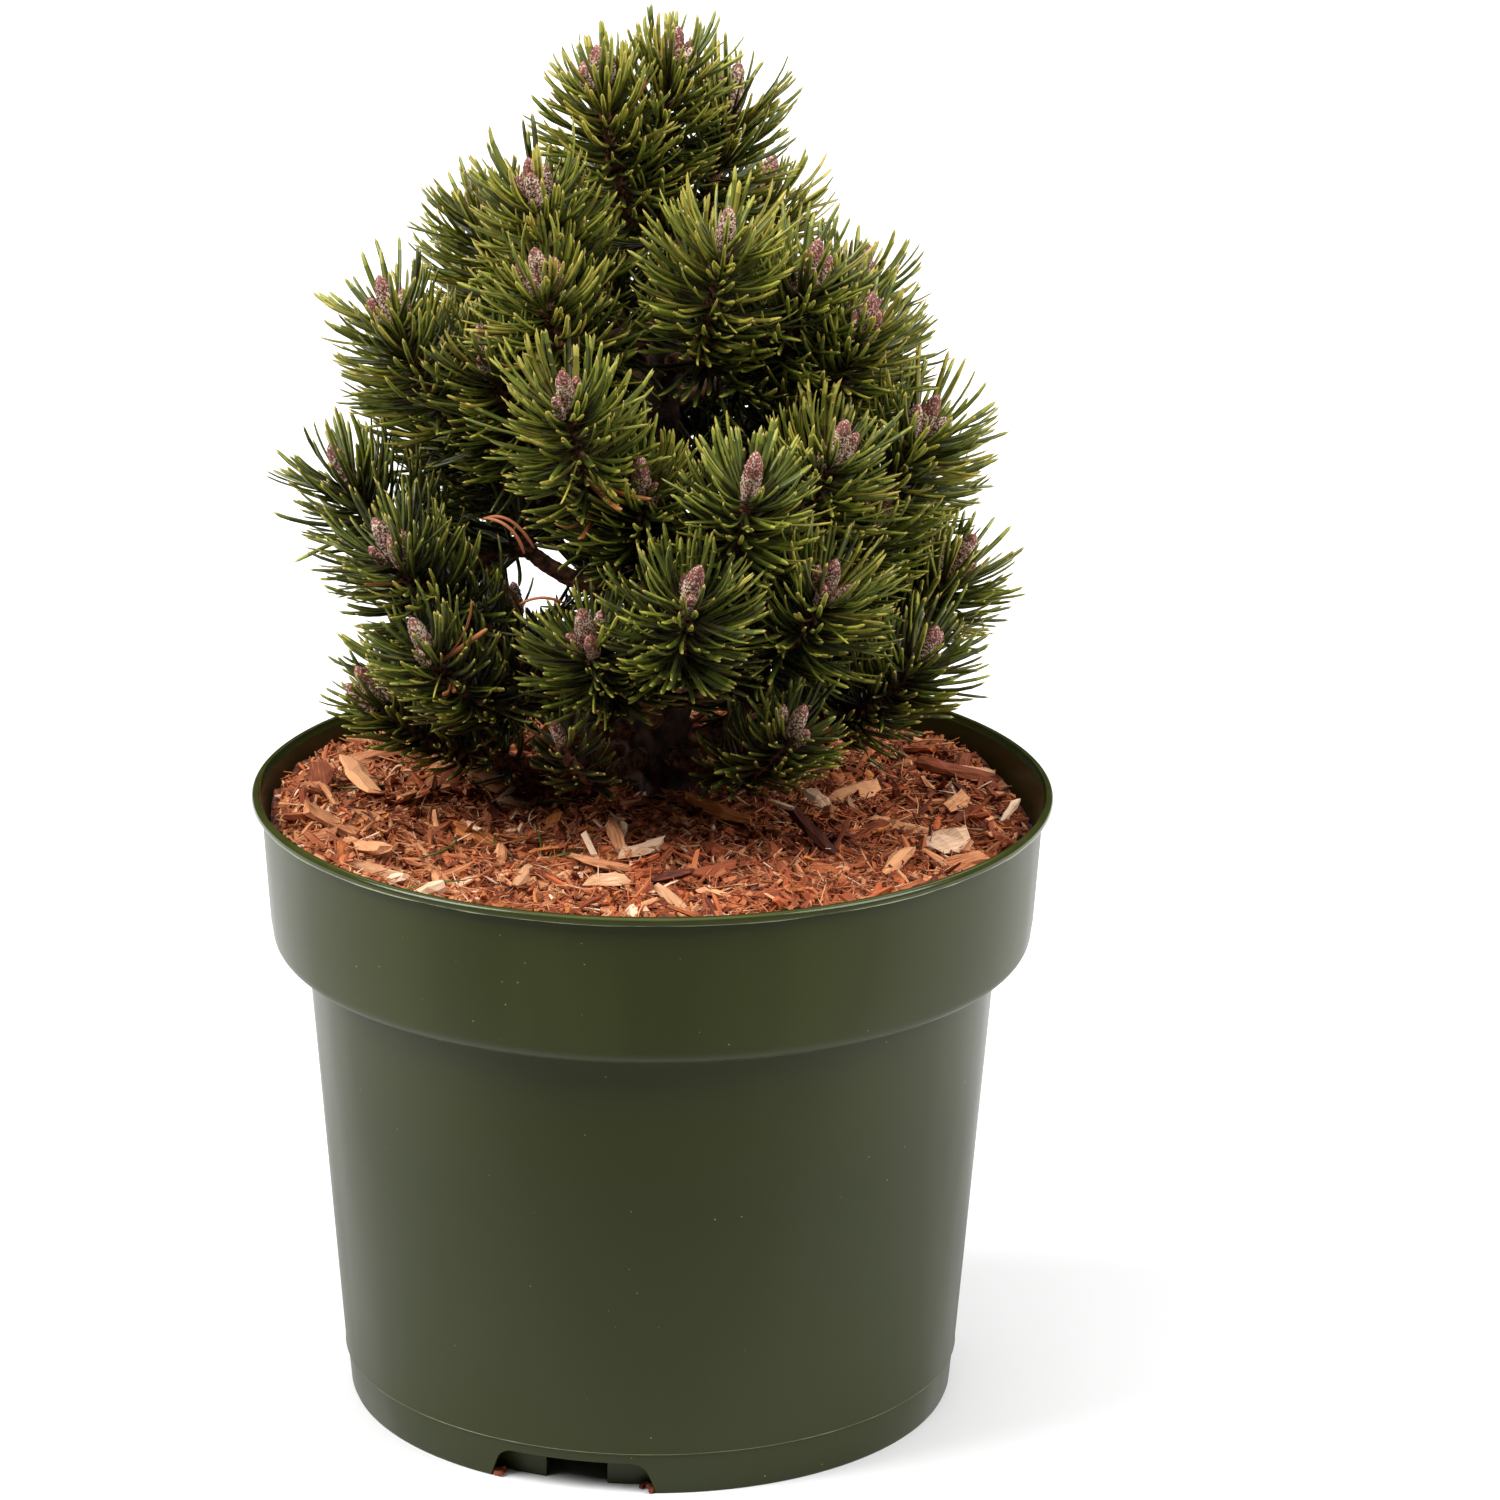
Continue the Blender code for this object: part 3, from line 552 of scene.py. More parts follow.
@dataclass
class Sheet:
    """Points and faces to be made into one piece, with a material number for each face."""

    points: list[Array] = field(default_factory=list)
    grain: list[Array] = field(default_factory=list)
    faces: dict[int, list[Array]] = field(default_factory=lambda: {3: [], 4: []})
    slots: dict[int, list[Array]] = field(default_factory=lambda: {3: [], 4: []})
    count: int = 0
    grained: bool = False

    def add(
        self, points: Array, faces: list[Array], slot: int | list = 0, grain: Array | None = None
    ) -> None:
        """Adds points with their faces.

        Args:
            points: The new points, flattened to rows of three.
            faces: Arrays of triangles or of quads that number the new points.
            slot: The material number, or for each array of faces either one number or
                one for each face.
            grain: Each point's place in the piece's UV map, in metres.
        """
        points = points.reshape(-1, 3)
        slots = slot if isinstance(slot, list) else [slot] * len(faces)
        for block, numbers in zip(faces, slots):
            size = block.shape[-1]
            block = block.reshape(-1, size)
            self.faces[size].append(block + self.count)
            self.slots[size].append(np.broadcast_to(numbers, len(block)))
        self.points.append(points)
        self.grain.append(np.zeros((len(points), 2)) if grain is None else grain.reshape(-1, 2))
        self.grained = self.grained or grain is not None
        self.count += len(points)

    def add_many(
        self, points: Array, faces: list[Array], slots: list[Array], grain: Array | None = None
    ) -> None:
        """Adds pieces that are alike but for where their points are.

        Args:
            points: The pieces' points, one row for each piece.
            faces: Arrays of faces that number one piece's points.
            slots: For each of those arrays, the material number of each piece, or of
                each face of each piece.
            grain: Each point's place in the UV map, in metres.
        """
        count = len(points)
        first = math.prod(points.shape[1:-1]) * np.arange(count)[:, None, None]
        numbered = [(block + first).reshape(-1, block.shape[1]) for block in faces]
        spread = [
            np.broadcast_to(slot.reshape(count, -1), (count, len(block))).ravel()
            for slot, block in zip(slots, faces)
        ]
        self.add(points, numbered, spread, grain)

    def make(
        self, name: str, materials: list[bpy.types.Material], smooth: bool = True
    ) -> bpy.types.Object:
        """The piece as a Blender object.

        Args:
            name: The object's name.
            materials: The materials that the numbers stand for.
            smooth: Whether its faces are shaded smooth.

        Returns:
            The object, linked into the scene.
        """
        mesh = bpy.data.meshes.new(name)
        blocks = [np.concatenate(self.faces[s]) for s in (3, 4) if self.faces[s]]
        slots = np.concatenate([np.concatenate(self.slots[s]) for s in (3, 4) if self.slots[s]])
        corners = np.concatenate([b.ravel() for b in blocks]).astype(np.int32)
        sizes = np.concatenate([np.full(len(b), b.shape[1]) for b in blocks])
        starts = np.concatenate([[0], np.cumsum(sizes)[:-1]]).astype(np.int32)
        points = np.concatenate(self.points)
        mesh.vertices.add(len(points))
        mesh.vertices.foreach_set("co", points.astype(np.float32).ravel())
        mesh.loops.add(len(corners))
        mesh.loops.foreach_set("vertex_index", corners)
        mesh.polygons.add(len(sizes))
        mesh.polygons.foreach_set("loop_start", starts)
        mesh.update(calc_edges=True)
        for material in materials:
            mesh.materials.append(material)
        mesh.polygons.foreach_set("material_index", slots.astype(np.int32))
        mesh.polygons.foreach_set("use_smooth", np.full(len(sizes), smooth))
        if self.grained:
            places = np.concatenate(self.grain)[corners].astype(np.float32)
            mesh.uv_layers.new(name="grain").data.foreach_set("uv", places.ravel())
        mesh.validate()
        obj = bpy.data.objects.new(name, mesh)
        bpy.context.scene.collection.objects.link(obj)
        return obj


def sweep(sheet: Sheet, path: Array, radii: Array, sides: int, slot: int | list = 0) -> None:
    """Adds a closed tube along a path.

    Point (i, j) is path[i] + radii[i, j] * (side[i] * cos a[j] + other[i] * sin a[j]),
    where side and other stand across the path and a runs once round. A last point at
    each end closes it.

    Args:
        sheet: Takes the tube.
        path: The middle line, one row for each station.
        radii: The radius at each station, or at each station and side.
        sides: The number of points round the tube.
        slot: The material number, or those of the side and of the two ends.
    """
    tangent = unit(np.gradient(path, axis=0))
    mean = unit(path[-1] - path[0])
    helper = np.eye(3)[np.argmin(np.abs(mean))]
    side = unit(np.cross(tangent, helper))
    other = np.cross(tangent, side)
    turn = turns(sides)
    radii = radii[:, None] if radii.ndim == 1 else radii
    ring = side[:, None] * np.cos(turn)[:, None] + other[:, None] * np.sin(turn)[:, None]
    points = (path[:, None] + radii[..., None] * ring).reshape(-1, 3)
    sheet.add(np.vstack([points, path[0], path[-1]]), closed_tube(len(path), sides), slot)


def turned(sheet: Sheet, profile: Array, steps: int) -> None:
    """Adds a profile of (radius, height) rows turned about Z, from axis to axis.

    Point (i, j) is (r[i] * sin a[j], -r[i] * cos a[j], z[i]). The profile runs down its
    outer side, so that the faces look outwards.
    """
    inner = profile[1:-1]
    points = inner[:, :1, None] * level_ring(turns(steps)) + inner[:, 1:, None] * UP
    poles = profile[[0, -1], 1:] * UP
    faces = closed_tube(len(inner), steps, reverse=True)
    sheet.add(np.vstack([points.reshape(-1, 3), poles]), faces)


def bent_path(start: Array, bend: Array, end: Array, count: int) -> Array:
    """Points of the curve (1-t)^2 start + 2t(1-t) bend + t^2 end, for t from 0 to 1."""
    t = np.linspace(0.0, 1.0, count)[:, None]
    return (1 - t) ** 2 * start + 2 * t * (1 - t) * bend + t**2 * end


def settle(obj: bpy.types.Object, *nodes: str, slot: str) -> None:
    """Hands a finished piece to the frame: its body and the solids that it stands for."""
    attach(obj, BODY)
    if nodes:
        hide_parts(*nodes)
    LOG.info("%s: %d faces", obj.name, len(obj.data.polygons))


# The pot


@dataclass(frozen=True)
class Pot:
    """The moulded pot: a tapering body, a collar, a rolled lip and a notched foot."""

    height: float = 0.182
    wall: float = 0.0018
    lip_radius: float = 0.115
    lip_depth: float = 0.0023
    lip_slope: float = 0.0015
    lip_flat: float = 0.0007
    lip_flare: float = 0.0012
    lip_round: float = 0.0013
    collar_top: float = 0.1123
    collar_foot: float = 0.1094
    collar_height: float = 0.1365
    collar_round: float = 0.0048
    body_top: float = 0.0996
    foot: float = 0.0886
    foot_wall: float = 0.0026
    seam_height: float = 0.0126
    seam_step: float = 0.0005
    floor_height: float = 0.0105
    floor_thickness: float = 0.0022
    floor_bevel: float = 0.004
    throat_round: float = 0.0009
    throat_depth: float = 0.008
    lip_crown: float = 0.0001
    lip_tuck: float = 0.0006
    step_round: float = 0.0008
    inner_ring: float = 0.0815
    notch_count: int = 3
    notch_bearing: float = -14.0
    notch_width: float = 0.042
    notch_flare: float = 0.007
    notch_height: float = 0.0095
    notch_round: float = 0.0035
    notch_inner: float = 0.0823
    notch_outer: float = 0.0940
    slot_width: float = 0.018
    slot_height: float = 0.015
    slot_inner: float = 0.066
    sharp_degrees: float = 32.0
    steps: int = 240

    def body_radius(self, height: float) -> float:
        """The outer radius of the body at a height."""
        return self.foot + (self.body_top - self.foot) * height / self.collar_height

    def collar_radius(self, height: float) -> float:
        """The outer radius of the collar at a height."""
        span = self.height - self.lip_depth - self.collar_height
        share = (height - self.collar_height) / span
        return self.collar_foot + (self.collar_top - self.collar_foot) * share

    def inner_radius(self, height: float) -> float:
        """The radius of the inner face at a height within the collar."""
        return self.collar_radius(height) - self.wall

    @staticmethod
    def arc(
        radius: float, height: float, bend: float, first: float, last: float, count: int = 7
    ) -> Array:
        """Rows (radius + bend cos a, height + bend sin a) for a between two angles."""
        turn = np.radians(np.linspace(first, last, count))
        return np.stack([radius + bend * np.cos(turn), height + bend * np.sin(turn)], -1)

    def profile(self) -> Array:
        """The section, from the middle of the floor over the lip to the underside."""
        floor = self.floor_height + self.floor_thickness
        ledge = self.collar_height + self.wall
        corner = self.inner_radius(ledge + self.collar_round)
        top, bead = self.height, self.lip_round
        under = top - self.lip_depth
        throat = self.inner_radius(top) + self.lip_flare
        inside = np.array(
            [
                [0.0, floor],
                [self.body_radius(floor) - self.wall - self.floor_bevel, floor],
                [self.body_radius(floor) - self.wall, floor + self.floor_bevel],
                [self.body_radius(ledge) - self.wall, ledge],
                [corner - self.collar_round, ledge],
                [corner, ledge + self.collar_round],
            ]
        )
        edge, tuck, side = self.throat_round, self.lip_tuck, self.collar_radius(under)
        lip = np.vstack(
            [
                [[self.inner_radius(top - self.throat_depth), top - self.throat_depth]],
                self.arc(throat + edge, top - edge - self.lip_slope, edge, 180, 118, 5),
                [[self.lip_radius - bead - self.lip_flat, top - self.lip_crown]],
                self.arc(self.lip_radius - bead, top - bead, bead, 90, 0),
                self.arc(self.lip_radius - bead * 0.5, under + bead * 0.5, bead * 0.5, 0, -90, 5),
                [[side + tuck, under], [side, under - tuck]],
            ]
        )
        bend, fold = self.collar_round, self.step_round
        middle = self.collar_height + bend
        collar = np.vstack(
            [
                [[self.collar_radius(z), z] for z in np.linspace(under - 0.004, middle + 0.004, 5)],
                self.arc(self.collar_foot - bend, middle, bend, 0, -86, 9),
                self.arc(self.body_top + fold, self.collar_height - fold, fold, 90, 180, 5),
            ]
        )
        seam, step = self.seam_height, self.seam_step
        body = np.array([[self.body_radius(z), z] for z in np.linspace(0.120, seam + 0.002, 7)])
        low = np.array(
            [
                [self.body_radius(seam) + 0.00012, seam + 0.0005],
                [self.body_radius(seam) + 0.00012, seam + 0.0002],
                [self.body_radius(seam) - step, seam - step],
                [self.foot - step, 0.0012],
                [self.foot - step - 0.0005, 0.0],
                [self.foot - self.foot_wall, 0.0],
                [self.foot - self.foot_wall, self.floor_height],
                [self.inner_ring, self.floor_height],
                [self.inner_ring, 0.0],
                [self.inner_ring - self.wall, 0.0],
                [self.inner_ring - self.wall, self.floor_height],
                [0.0, self.floor_height],
            ]
        )
        return np.vstack([inside, lip, collar, body, low])

    def cutter(
        self, name: str, size: tuple, reach: float, bearing: float, rounded: float
    ) -> bpy.types.Object:
        """A block to cut with.

        Args:
            name: The block's name.
            size: Its width, its depth and twice its height above the ground.
            reach: How far its middle stands from the pot's axis.
            bearing: Where it stands, in degrees.
            rounded: The radius of its upper edges. A rounded block is wider at the ground.

        Returns:
            The block.
        """
        bpy.ops.mesh.primitive_cube_add(size=1.0)
        block = bpy.context.object
        block.name = name
        block.scale = size
        bpy.ops.object.transform_apply(location=False, rotation=False)
        if rounded:
            corners = np.empty(24, np.float32)
            block.data.vertices.foreach_get("co", corners)
            corners = corners.reshape(-1, 3)
            low = corners[:, 2] < 0
            corners[low, 0] += np.sign(corners[low, 0]) * self.notch_flare
            block.data.vertices.foreach_set("co", corners.ravel())
            weights = block.data.attributes.new("bevel_weight_edge", "FLOAT", "EDGE")
            for edge in block.data.edges:
                a, b = (block.data.vertices[i].co for i in edge.vertices)
                weights.data[edge.index].value = float(abs(a.y - b.y) > 1e-4 and a.z > 0)
            bevel = block.modifiers.new("rounded", "BEVEL")
            bevel.width, bevel.segments, bevel.limit_method = rounded, 5, "WEIGHT"
        turn = math.radians(bearing)
        block.location = (reach * math.sin(turn), -reach * math.cos(turn), 0.0)
        block.rotation_euler = (0.0, 0.0, turn)
        return block

    def build(self) -> None:
        """Makes the pot's wall, cuts its foot, and lays the flash line under its lip."""
        sheet = Sheet()
        turned(sheet, self.profile(), self.steps)
        plastic = MouldedPolypropylene()
        pot = sheet.make("pot_wall", [plastic.make(), plastic.polished()])
        cutters = []
        slot_outer = (self.inner_ring + self.notch_inner) / 2
        for index in range(self.notch_count):
            bearing = self.notch_bearing + index * 360.0 / self.notch_count
            size = (self.notch_width, self.notch_outer - self.notch_inner, 2 * self.notch_height)
            reach = (self.notch_outer + self.notch_inner) / 2
            cutters.append(self.cutter(f"notch_{index}", size, reach, bearing, self.notch_round))
            size = (self.slot_width, slot_outer - self.slot_inner, 2 * self.slot_height)
            reach = (slot_outer + self.slot_inner) / 2
            cutters.append(self.cutter(f"slot_{index}", size, reach, bearing, 0.0))
        for cutter in cutters:
            cut = pot.modifiers.new(cutter.name, "BOOLEAN")
            cut.object, cut.operation, cut.solver = cutter, "DIFFERENCE", "EXACT"
        graph = bpy.context.evaluated_depsgraph_get()
        mesh = bpy.data.meshes.new_from_object(pot.evaluated_get(graph))
        pot.modifiers.clear()
        pot.data = mesh
        for cutter in cutters:
            bpy.data.objects.remove(cutter)
        middle = np.empty(len(mesh.polygons) * 3, np.float32)
        mesh.polygons.foreach_get("center", middle)
        middle = middle.reshape(-1, 3)
        under_lip = self.height - self.lip_depth
        on_lip = (middle[:, 2] > under_lip) & (np.hypot(*middle[:, :2].T) > self.collar_top)
        mesh.polygons.foreach_set("material_index", on_lip.astype(np.int32))
        mesh.shade_smooth()
        mesh.set_sharp_from_angle(angle=math.radians(self.sharp_degrees))
        settle(pot, "pot", slot="pot")
        # The pale colours of both flash lines are a painted highlight on real beads.
        pale, faint = MouldFlash().make(), MouldFlash("seam", "#353b18", "#727852").make()
        self.flash_line("lip_flash", self.lip_radius - 0.0004, under_lip, 0.00013, 0.00025, pale)
        seam = self.body_radius(self.seam_height) + 0.0001
        self.flash_line("seam_flash", seam, self.seam_height + 0.0002, 0.00007, 0.0, faint)

    def flash_line(
        self,
        name: str,
        radius: float,
        height: float,
        gauge: float,
        sag: float,
        material: bpy.types.Material,
    ) -> None:
        """A thin bead round the pot, thicker and thinner as it goes.

        Its middle is (r sin a, -r cos a, h + sag n(a)) and its own radius is
        g (1 + m(a)), where n and m are smooth noise and m stays between 0 and 1.

        Args:
            name: The bead's name.
            radius: Its distance from the pot's axis.
            height: Its height.
            gauge: Its own least radius.
            sag: How far it strays up and down.
            material: Its finish.
        """
        steps, sides = 360, 6
        ring, around = level_ring(turns(steps)), turns(sides)
        uneven = lattice_noise(ring * self.lip_radius, 0.006, 5)
        thick = gauge * (1.0 + np.clip(uneven + 0.25, 0.0, 1.0))
        middle = ring * radius
        middle[:, 2] = height + sag * (0.2 + lattice_noise(ring * self.lip_radius, 0.012, 9))
        offset = ring[:, None] * np.cos(around)[:, None] + UP * np.sin(around)[:, None]
        points = middle[:, None] + thick[:, None, None] * offset
        cells = grid_quads(steps + 1, sides)[:, ::-1] % (steps * sides)
        sheet = Sheet()
        sheet.add(points, [cells])
        settle(sheet.make(name, [material]), slot="pot")


# The mulch


class Tone(Enum):
    """A tone of bark, as the number of its material.

    The first list below gives the darker tone that each of them takes towards the right,
    which is painted shade, and the second the lighter tone towards the left, painted light.
    """

    RUSSET = 0
    FAWN = 1
    UMBER = 2
    SIENNA = 3
    ORANGE = 4
    CREAM = 5
    DARK = 6


# Darker tones for the right, as painted shade, and lighter ones for the left, as painted light.
PAINTED_SHADE_TONES = (Tone.SIENNA, Tone.RUSSET, Tone.UMBER, Tone.UMBER, Tone.SIENNA, Tone.FAWN, Tone.DARK)
PAINTED_LIGHT_TONES = (Tone.FAWN, Tone.FAWN, Tone.RUSSET, Tone.RUSSET, Tone.ORANGE, Tone.CREAM, Tone.SIENNA)


TONE_WEIGHTS = (0.29, 0.25, 0.12, 0.23, 0.07, 0.0, 0.04)
CAUGHT_TONES = (Tone.SIENNA, Tone.UMBER, Tone.DARK)
FIBRE_TONES = {Tone.RUSSET: 0.36, Tone.FAWN: 0.34, Tone.SIENNA: 0.23, Tone.CREAM: 0.07}


class ChipKind(Enum):
    """A kind of bark piece: count, lengths, width shares, thickness, tilt and stations.

    A piece with stations is splintered, and one without is a plain crumb. The last
    number is the share of cream ones, and TONE_WEIGHTS shares out the rest.
    """

    SLABS = (50, (0.011, 0.020), (0.24, 0.44), 0.0030, 0.30, 6, 0.10)
    CHIPS = (700, (0.005, 0.012), (0.18, 0.42), 0.0021, 0.70, 5, 0.09)
    SPLINTERS = (620, (0.008, 0.020), (0.06, 0.14), 0.0012, 0.45, 4, 0.12)
    CRUMBS = (9500, (0.0022, 0.0062), (0.16, 0.46), 0.0012, 1.10, 0, 0.05)
    FINES = (15500, (0.0015, 0.0042), (0.12, 0.38), 0.0008, 1.30, 0, 0.03)


@dataclass(frozen=True)
class Slab:
    """A large piece with a place of its own: where it lies, its size, heading and tone."""

    x: float
    y: float
    length: float
    width: float
    heading: float
    tone: Tone


PLACED_SLABS = (
    Slab(0.0837, -0.0270, 0.0150, 0.0105, 32, Tone.CREAM),
    Slab(-0.0026, -0.0423, 0.0118, 0.0062, 26, Tone.CREAM),
    Slab(-0.0374, -0.0034, 0.0170, 0.0036, -38, Tone.CREAM),
    Slab(-0.0276, -0.0141, 0.0130, 0.0060, 80, Tone.ORANGE),
    Slab(-0.0121, -0.0518, 0.0206, 0.0034, -19, Tone.FAWN),
    Slab(-0.0498, -0.0257, 0.0190, 0.0072, -46, Tone.ORANGE),
    Slab(-0.0841, 0.0031, 0.0240, 0.0068, -66, Tone.FAWN),
    Slab(-0.0942, -0.0305, 0.0130, 0.0056, 38, Tone.FAWN),
    Slab(-0.0581, 0.0103, 0.0150, 0.0090, 75, Tone.RUSSET),
    Slab(-0.0481, 0.0116, 0.0150, 0.0080, -45, Tone.FAWN),
    Slab(0.0192, -0.0106, 0.0205, 0.0056, -30, Tone.ORANGE),
    Slab(0.0489, -0.0312, 0.0290, 0.0042, -54, Tone.DARK),
    Slab(-0.0767, -0.0518, 0.0310, 0.0042, -30, Tone.CREAM),
    Slab(-0.0117, -0.0697, 0.0118, 0.0066, 17, Tone.CREAM),
    Slab(0.0071, -0.0809, 0.0165, 0.0044, -52, Tone.CREAM),
    Slab(0.0880, 0.0328, 0.0230, 0.0056, -19, Tone.UMBER),
    Slab(0.0579, 0.0097, 0.0160, 0.0080, 30, Tone.FAWN),
    Slab(0.0474, 0.0020, 0.0105, 0.0052, -60, Tone.CREAM),
    Slab(0.0874, 0.0066, 0.0105, 0.0064, 55, Tone.FAWN),
    Slab(0.0875, -0.0458, 0.0150, 0.0085, 34, Tone.FAWN),
)


@dataclass(frozen=True)
class Strand:
    """A kind of thin strand: its range of lengths, radii and heights above the bed.

    The slope is how steeply they tend to stand.
    """

    length: tuple[float, float]
    gauge: tuple[float, float]
    lift: tuple[float, float]
    slope: float
    taper: tuple = (0.55, 1.0, 0.9, 0.4)


FIBRE = Strand((0.004, 0.014), (0.00012, 0.00034), (0.0012, 0.0036), 0.38)
FALLEN_NEEDLE = Strand((0.014, 0.026), (0.0004, 0.0006), (0.0034, 0.0050), 0.12)


@dataclass(frozen=True)
class Spots:
    """Where pieces of one kind lie, one row for each.

    It holds their middles, their lengths, widths and thicknesses, their headings in
    radians, where their tops face, and their material numbers.
    """

    place: Array
    size: Array
    heading: Array
    normal: Array
    tone: Array


@dataclass(frozen=True)
class Mulch:
    """The bark mulch: a bed, and the loose pieces that lie on it."""

    pot: Pot
    level: float = 0.1715
    mound_top: float = 0.1747
    mound_radius: float = 0.045
    heap: float = 0.0055
    heap_place: tuple = (-0.094, 0.022)
    heap_width: float = 0.048
    swell: tuple = (0.0024, 0.030, 3)
    lumps: tuple = (0.0022, 0.009, 4)
    grit: tuple = (0.0015, 0.0035, 6)
    bottom: float = 0.1483
    trunk: tuple = (0.001, 0.018)
    trunk_clear: float = 0.014
    slab_pitch: float = 14.0
    placed_lift: float = 0.0042
    fibres: int = 6000
    fallen: int = 16
    # Painted light and shade: the share of chips that turn darker on the right and lighter on the left.
    painted_light_share: float = 0.68
    painted_light_reach: float = 0.085
    seed: int = 11

    def height(self, x: Array, y: Array) -> Array:
        """The bed's height: a mound round the trunk, a heap, and three patterns of noise.

        Each pattern is its height, the size of its lumps and its seed. The mound is
        1 - (d / R)^2 of its rise at a distance d, and the heap exp(-(d / w)^2) of its.
        """
        away = np.hypot(x - self.trunk[0], y - self.trunk[1])
        mound = np.clip(1.0 - (away / self.mound_radius) ** 2, 0.0, 1.0)
        flat = np.stack([x, y, np.zeros_like(x)], -1)
        swell, lumps, grit = (
            height * lattice_noise(flat, size, seed)
            for height, size, seed in (self.swell, self.lumps, self.grit)
        )
        off = np.hypot(x - self.heap_place[0], y - self.heap_place[1]) / self.heap_width
        rise = (self.mound_top - self.level) * mound + self.heap * np.exp(-(off**2))
        return self.level + rise + swell * (1 - mound) + (lumps + grit)

    def bed(self, material: bpy.types.Material) -> None:
        """The closed body of fine mulch under the loose pieces."""
        rows, steps, gap = 100, 300, 0.0004
        edge = self.pot.inner_radius(self.level) - gap
        share = np.linspace(0.0, 1.0, rows)[1:, None]
        turn = turns(steps)
        x, y = edge * share * np.sin(turn), -edge * share * np.cos(turn)
        top = np.stack([x, y, self.height(x, y)], -1)
        ring = (self.pot.inner_radius(self.bottom) - gap) * level_ring(turn) + self.bottom * UP
        middle = float(self.height(np.array(0.0), np.array(0.0)))
        sheet = Sheet()
        points = np.vstack([top.reshape(-1, 3), ring, middle * UP, self.bottom * UP])
        sheet.add(points, closed_tube(rows, steps, reverse=True))
        settle(sheet.make("mulch_bed", [material]), "bark_mulch", slot="mulch")

    def scatter(self, margin: Array, rng: np.random.Generator) -> tuple[Array, Array]:
        """Random places on the bed, kept a margin inside the wall and off the trunk."""
        count = len(margin)
        edge = self.pot.inner_radius(self.level) - 0.0012
        reach = (edge - margin) * np.sqrt(rng.random(count))
        turn = rng.random(count) * math.tau
        x, y = reach * np.sin(turn), -reach * np.cos(turn)
        dx, dy = x - self.trunk[0], y - self.trunk[1]
        away = np.maximum(np.hypot(dx, dy), 1e-6)
        push = np.maximum(self.trunk_clear + margin * 0.6, away) / away
        return self.trunk[0] + dx * push, self.trunk[1] + dy * push

    @staticmethod
    def set_down(
        sheet: Sheet, local: Array, spot: Spots, faces: list[Array], rng: np.random.Generator
    ) -> None:
        """Adds pieces whose corners are known from their middles.

        Args:
            sheet: Takes the pieces.
            local: Each corner along, across and above its piece's middle.
            spot: Where the pieces lie.
            faces: Arrays of faces that number one piece's corners.
            rng: The mulch's random numbers.
        """
        count = len(spot.place)
        local = local.reshape(count, -1, 3)
        level = np.stack([np.cos(spot.heading), np.sin(spot.heading), np.zeros(count)], -1)
        along = unit(level - spot.normal * np.sum(level * spot.normal, -1, keepdims=True))
        axes = np.stack([along, np.cross(spot.normal, along), spot.normal], 1)
        points = spot.place[:, None] + local @ axes
        grain = local[..., :2] + rng.random((count, 1, 2))
        sheet.add_many(points, faces, [spot.tone] * len(faces), grain)

    def crumbs(self, sheet: Sheet, spot: Spots, rng: np.random.Generator) -> None:
        """Adds crumbs.

        Corner k of a crumb's top is at (l u[k], w v[k]) from its middle, moved at
        random, and its underside lies a thickness below.
        """
        count = len(spot.place)
        u, v = np.array([[-0.5, 0.42, 0.5, -0.38], [0.4, 0.5, -0.42, -0.5]])
        local = np.zeros((count, 2, 4, 3))
        moved = rng.normal(0.0, 0.14, (count, 1, 4, 2))
        local[..., 0] = spot.size[:, 0, None, None] * (u + moved[..., 0])
        local[..., 1] = spot.size[:, 1, None, None] * (v + moved[..., 1])
        local[:, 1, :, 2] -= spot.size[:, 2, None] * (1.0 + rng.normal(0.0, 0.25, (count, 4)))
        sides = [(k, (k + 1) % 4, (k + 1) % 4 + 4, k + 4) for k in range(4)]
        self.set_down(sheet, local, spot, [np.array([(3, 2, 1, 0), (4, 5, 6, 7), *sides])], rng)

    def splintered(self, sheet: Sheet, spot: Spots, stations: int, rng: np.random.Generator) -> None:
        """Adds pieces torn along the grain, each a flattened tube with broken ends.

        Station s of a piece, from -1 to 1, stands l s / 2 along it. Its six corners are
        the two edges, w e(s) / 2 to each side, and two each above and below at 0.55 of
        that, t e(s) / 2 from the middle, where e is 1 - b s^4 and b is between 0.05 and
        0.55. The middle rises by c l s^2, and the section turns by k s. Every corner is
        moved at random, and the ends break off at a slant.
        """
        count = len(spot.place)
        s = np.linspace(-1.0, 1.0, stations)
        length, width, depth = (spot.size[:, k, None, None] for k in range(3))
        across = np.array([-1.0, -0.55, 0.55, 1.0, 0.55, -0.55])
        above = np.array([0.1, 1.0, 1.0, -0.1, -1.0, -1.0])
        end = 1.0 - rng.uniform(0.05, 0.55, (count, 1, 1)) * (s**4)[:, None]
        half = width / 2 * end * (1.0 + rng.normal(0.0, 0.15, (count, stations, 6)))
        rise = depth / 2 * end * (1.0 + rng.normal(0.0, 0.24, (count, stations, 6)))
        y, z = half * across, rise * above
        torn = rng.normal(0.0, 0.035, (count, stations, 6)) * length
        torn = torn + rng.normal(0.0, 0.45, (count, stations, 1)) * y
        x = length / 2 * s[:, None] + (s**6)[:, None] * torn
        turn = rng.normal(0.0, 0.16, (count, 1, 1)) * s[:, None]
        sag = rng.uniform(-0.06, 0.06, (count, 1, 1)) * length * (s**2)[:, None]
        cos, sin = np.cos(turn), np.sin(turn)
        local = np.stack([x, y * cos - z * sin, y * sin + z * cos + sag], -1)
        near = np.array([(0, 1, 2, 3), (0, 3, 4, 5)])
        ends = np.vstack([near, 6 * (stations - 1) + near[:, [3, 2, 1, 0]]])
        self.set_down(sheet, local, spot, [grid_quads(stations, 6)[:, ::-1], ends], rng)

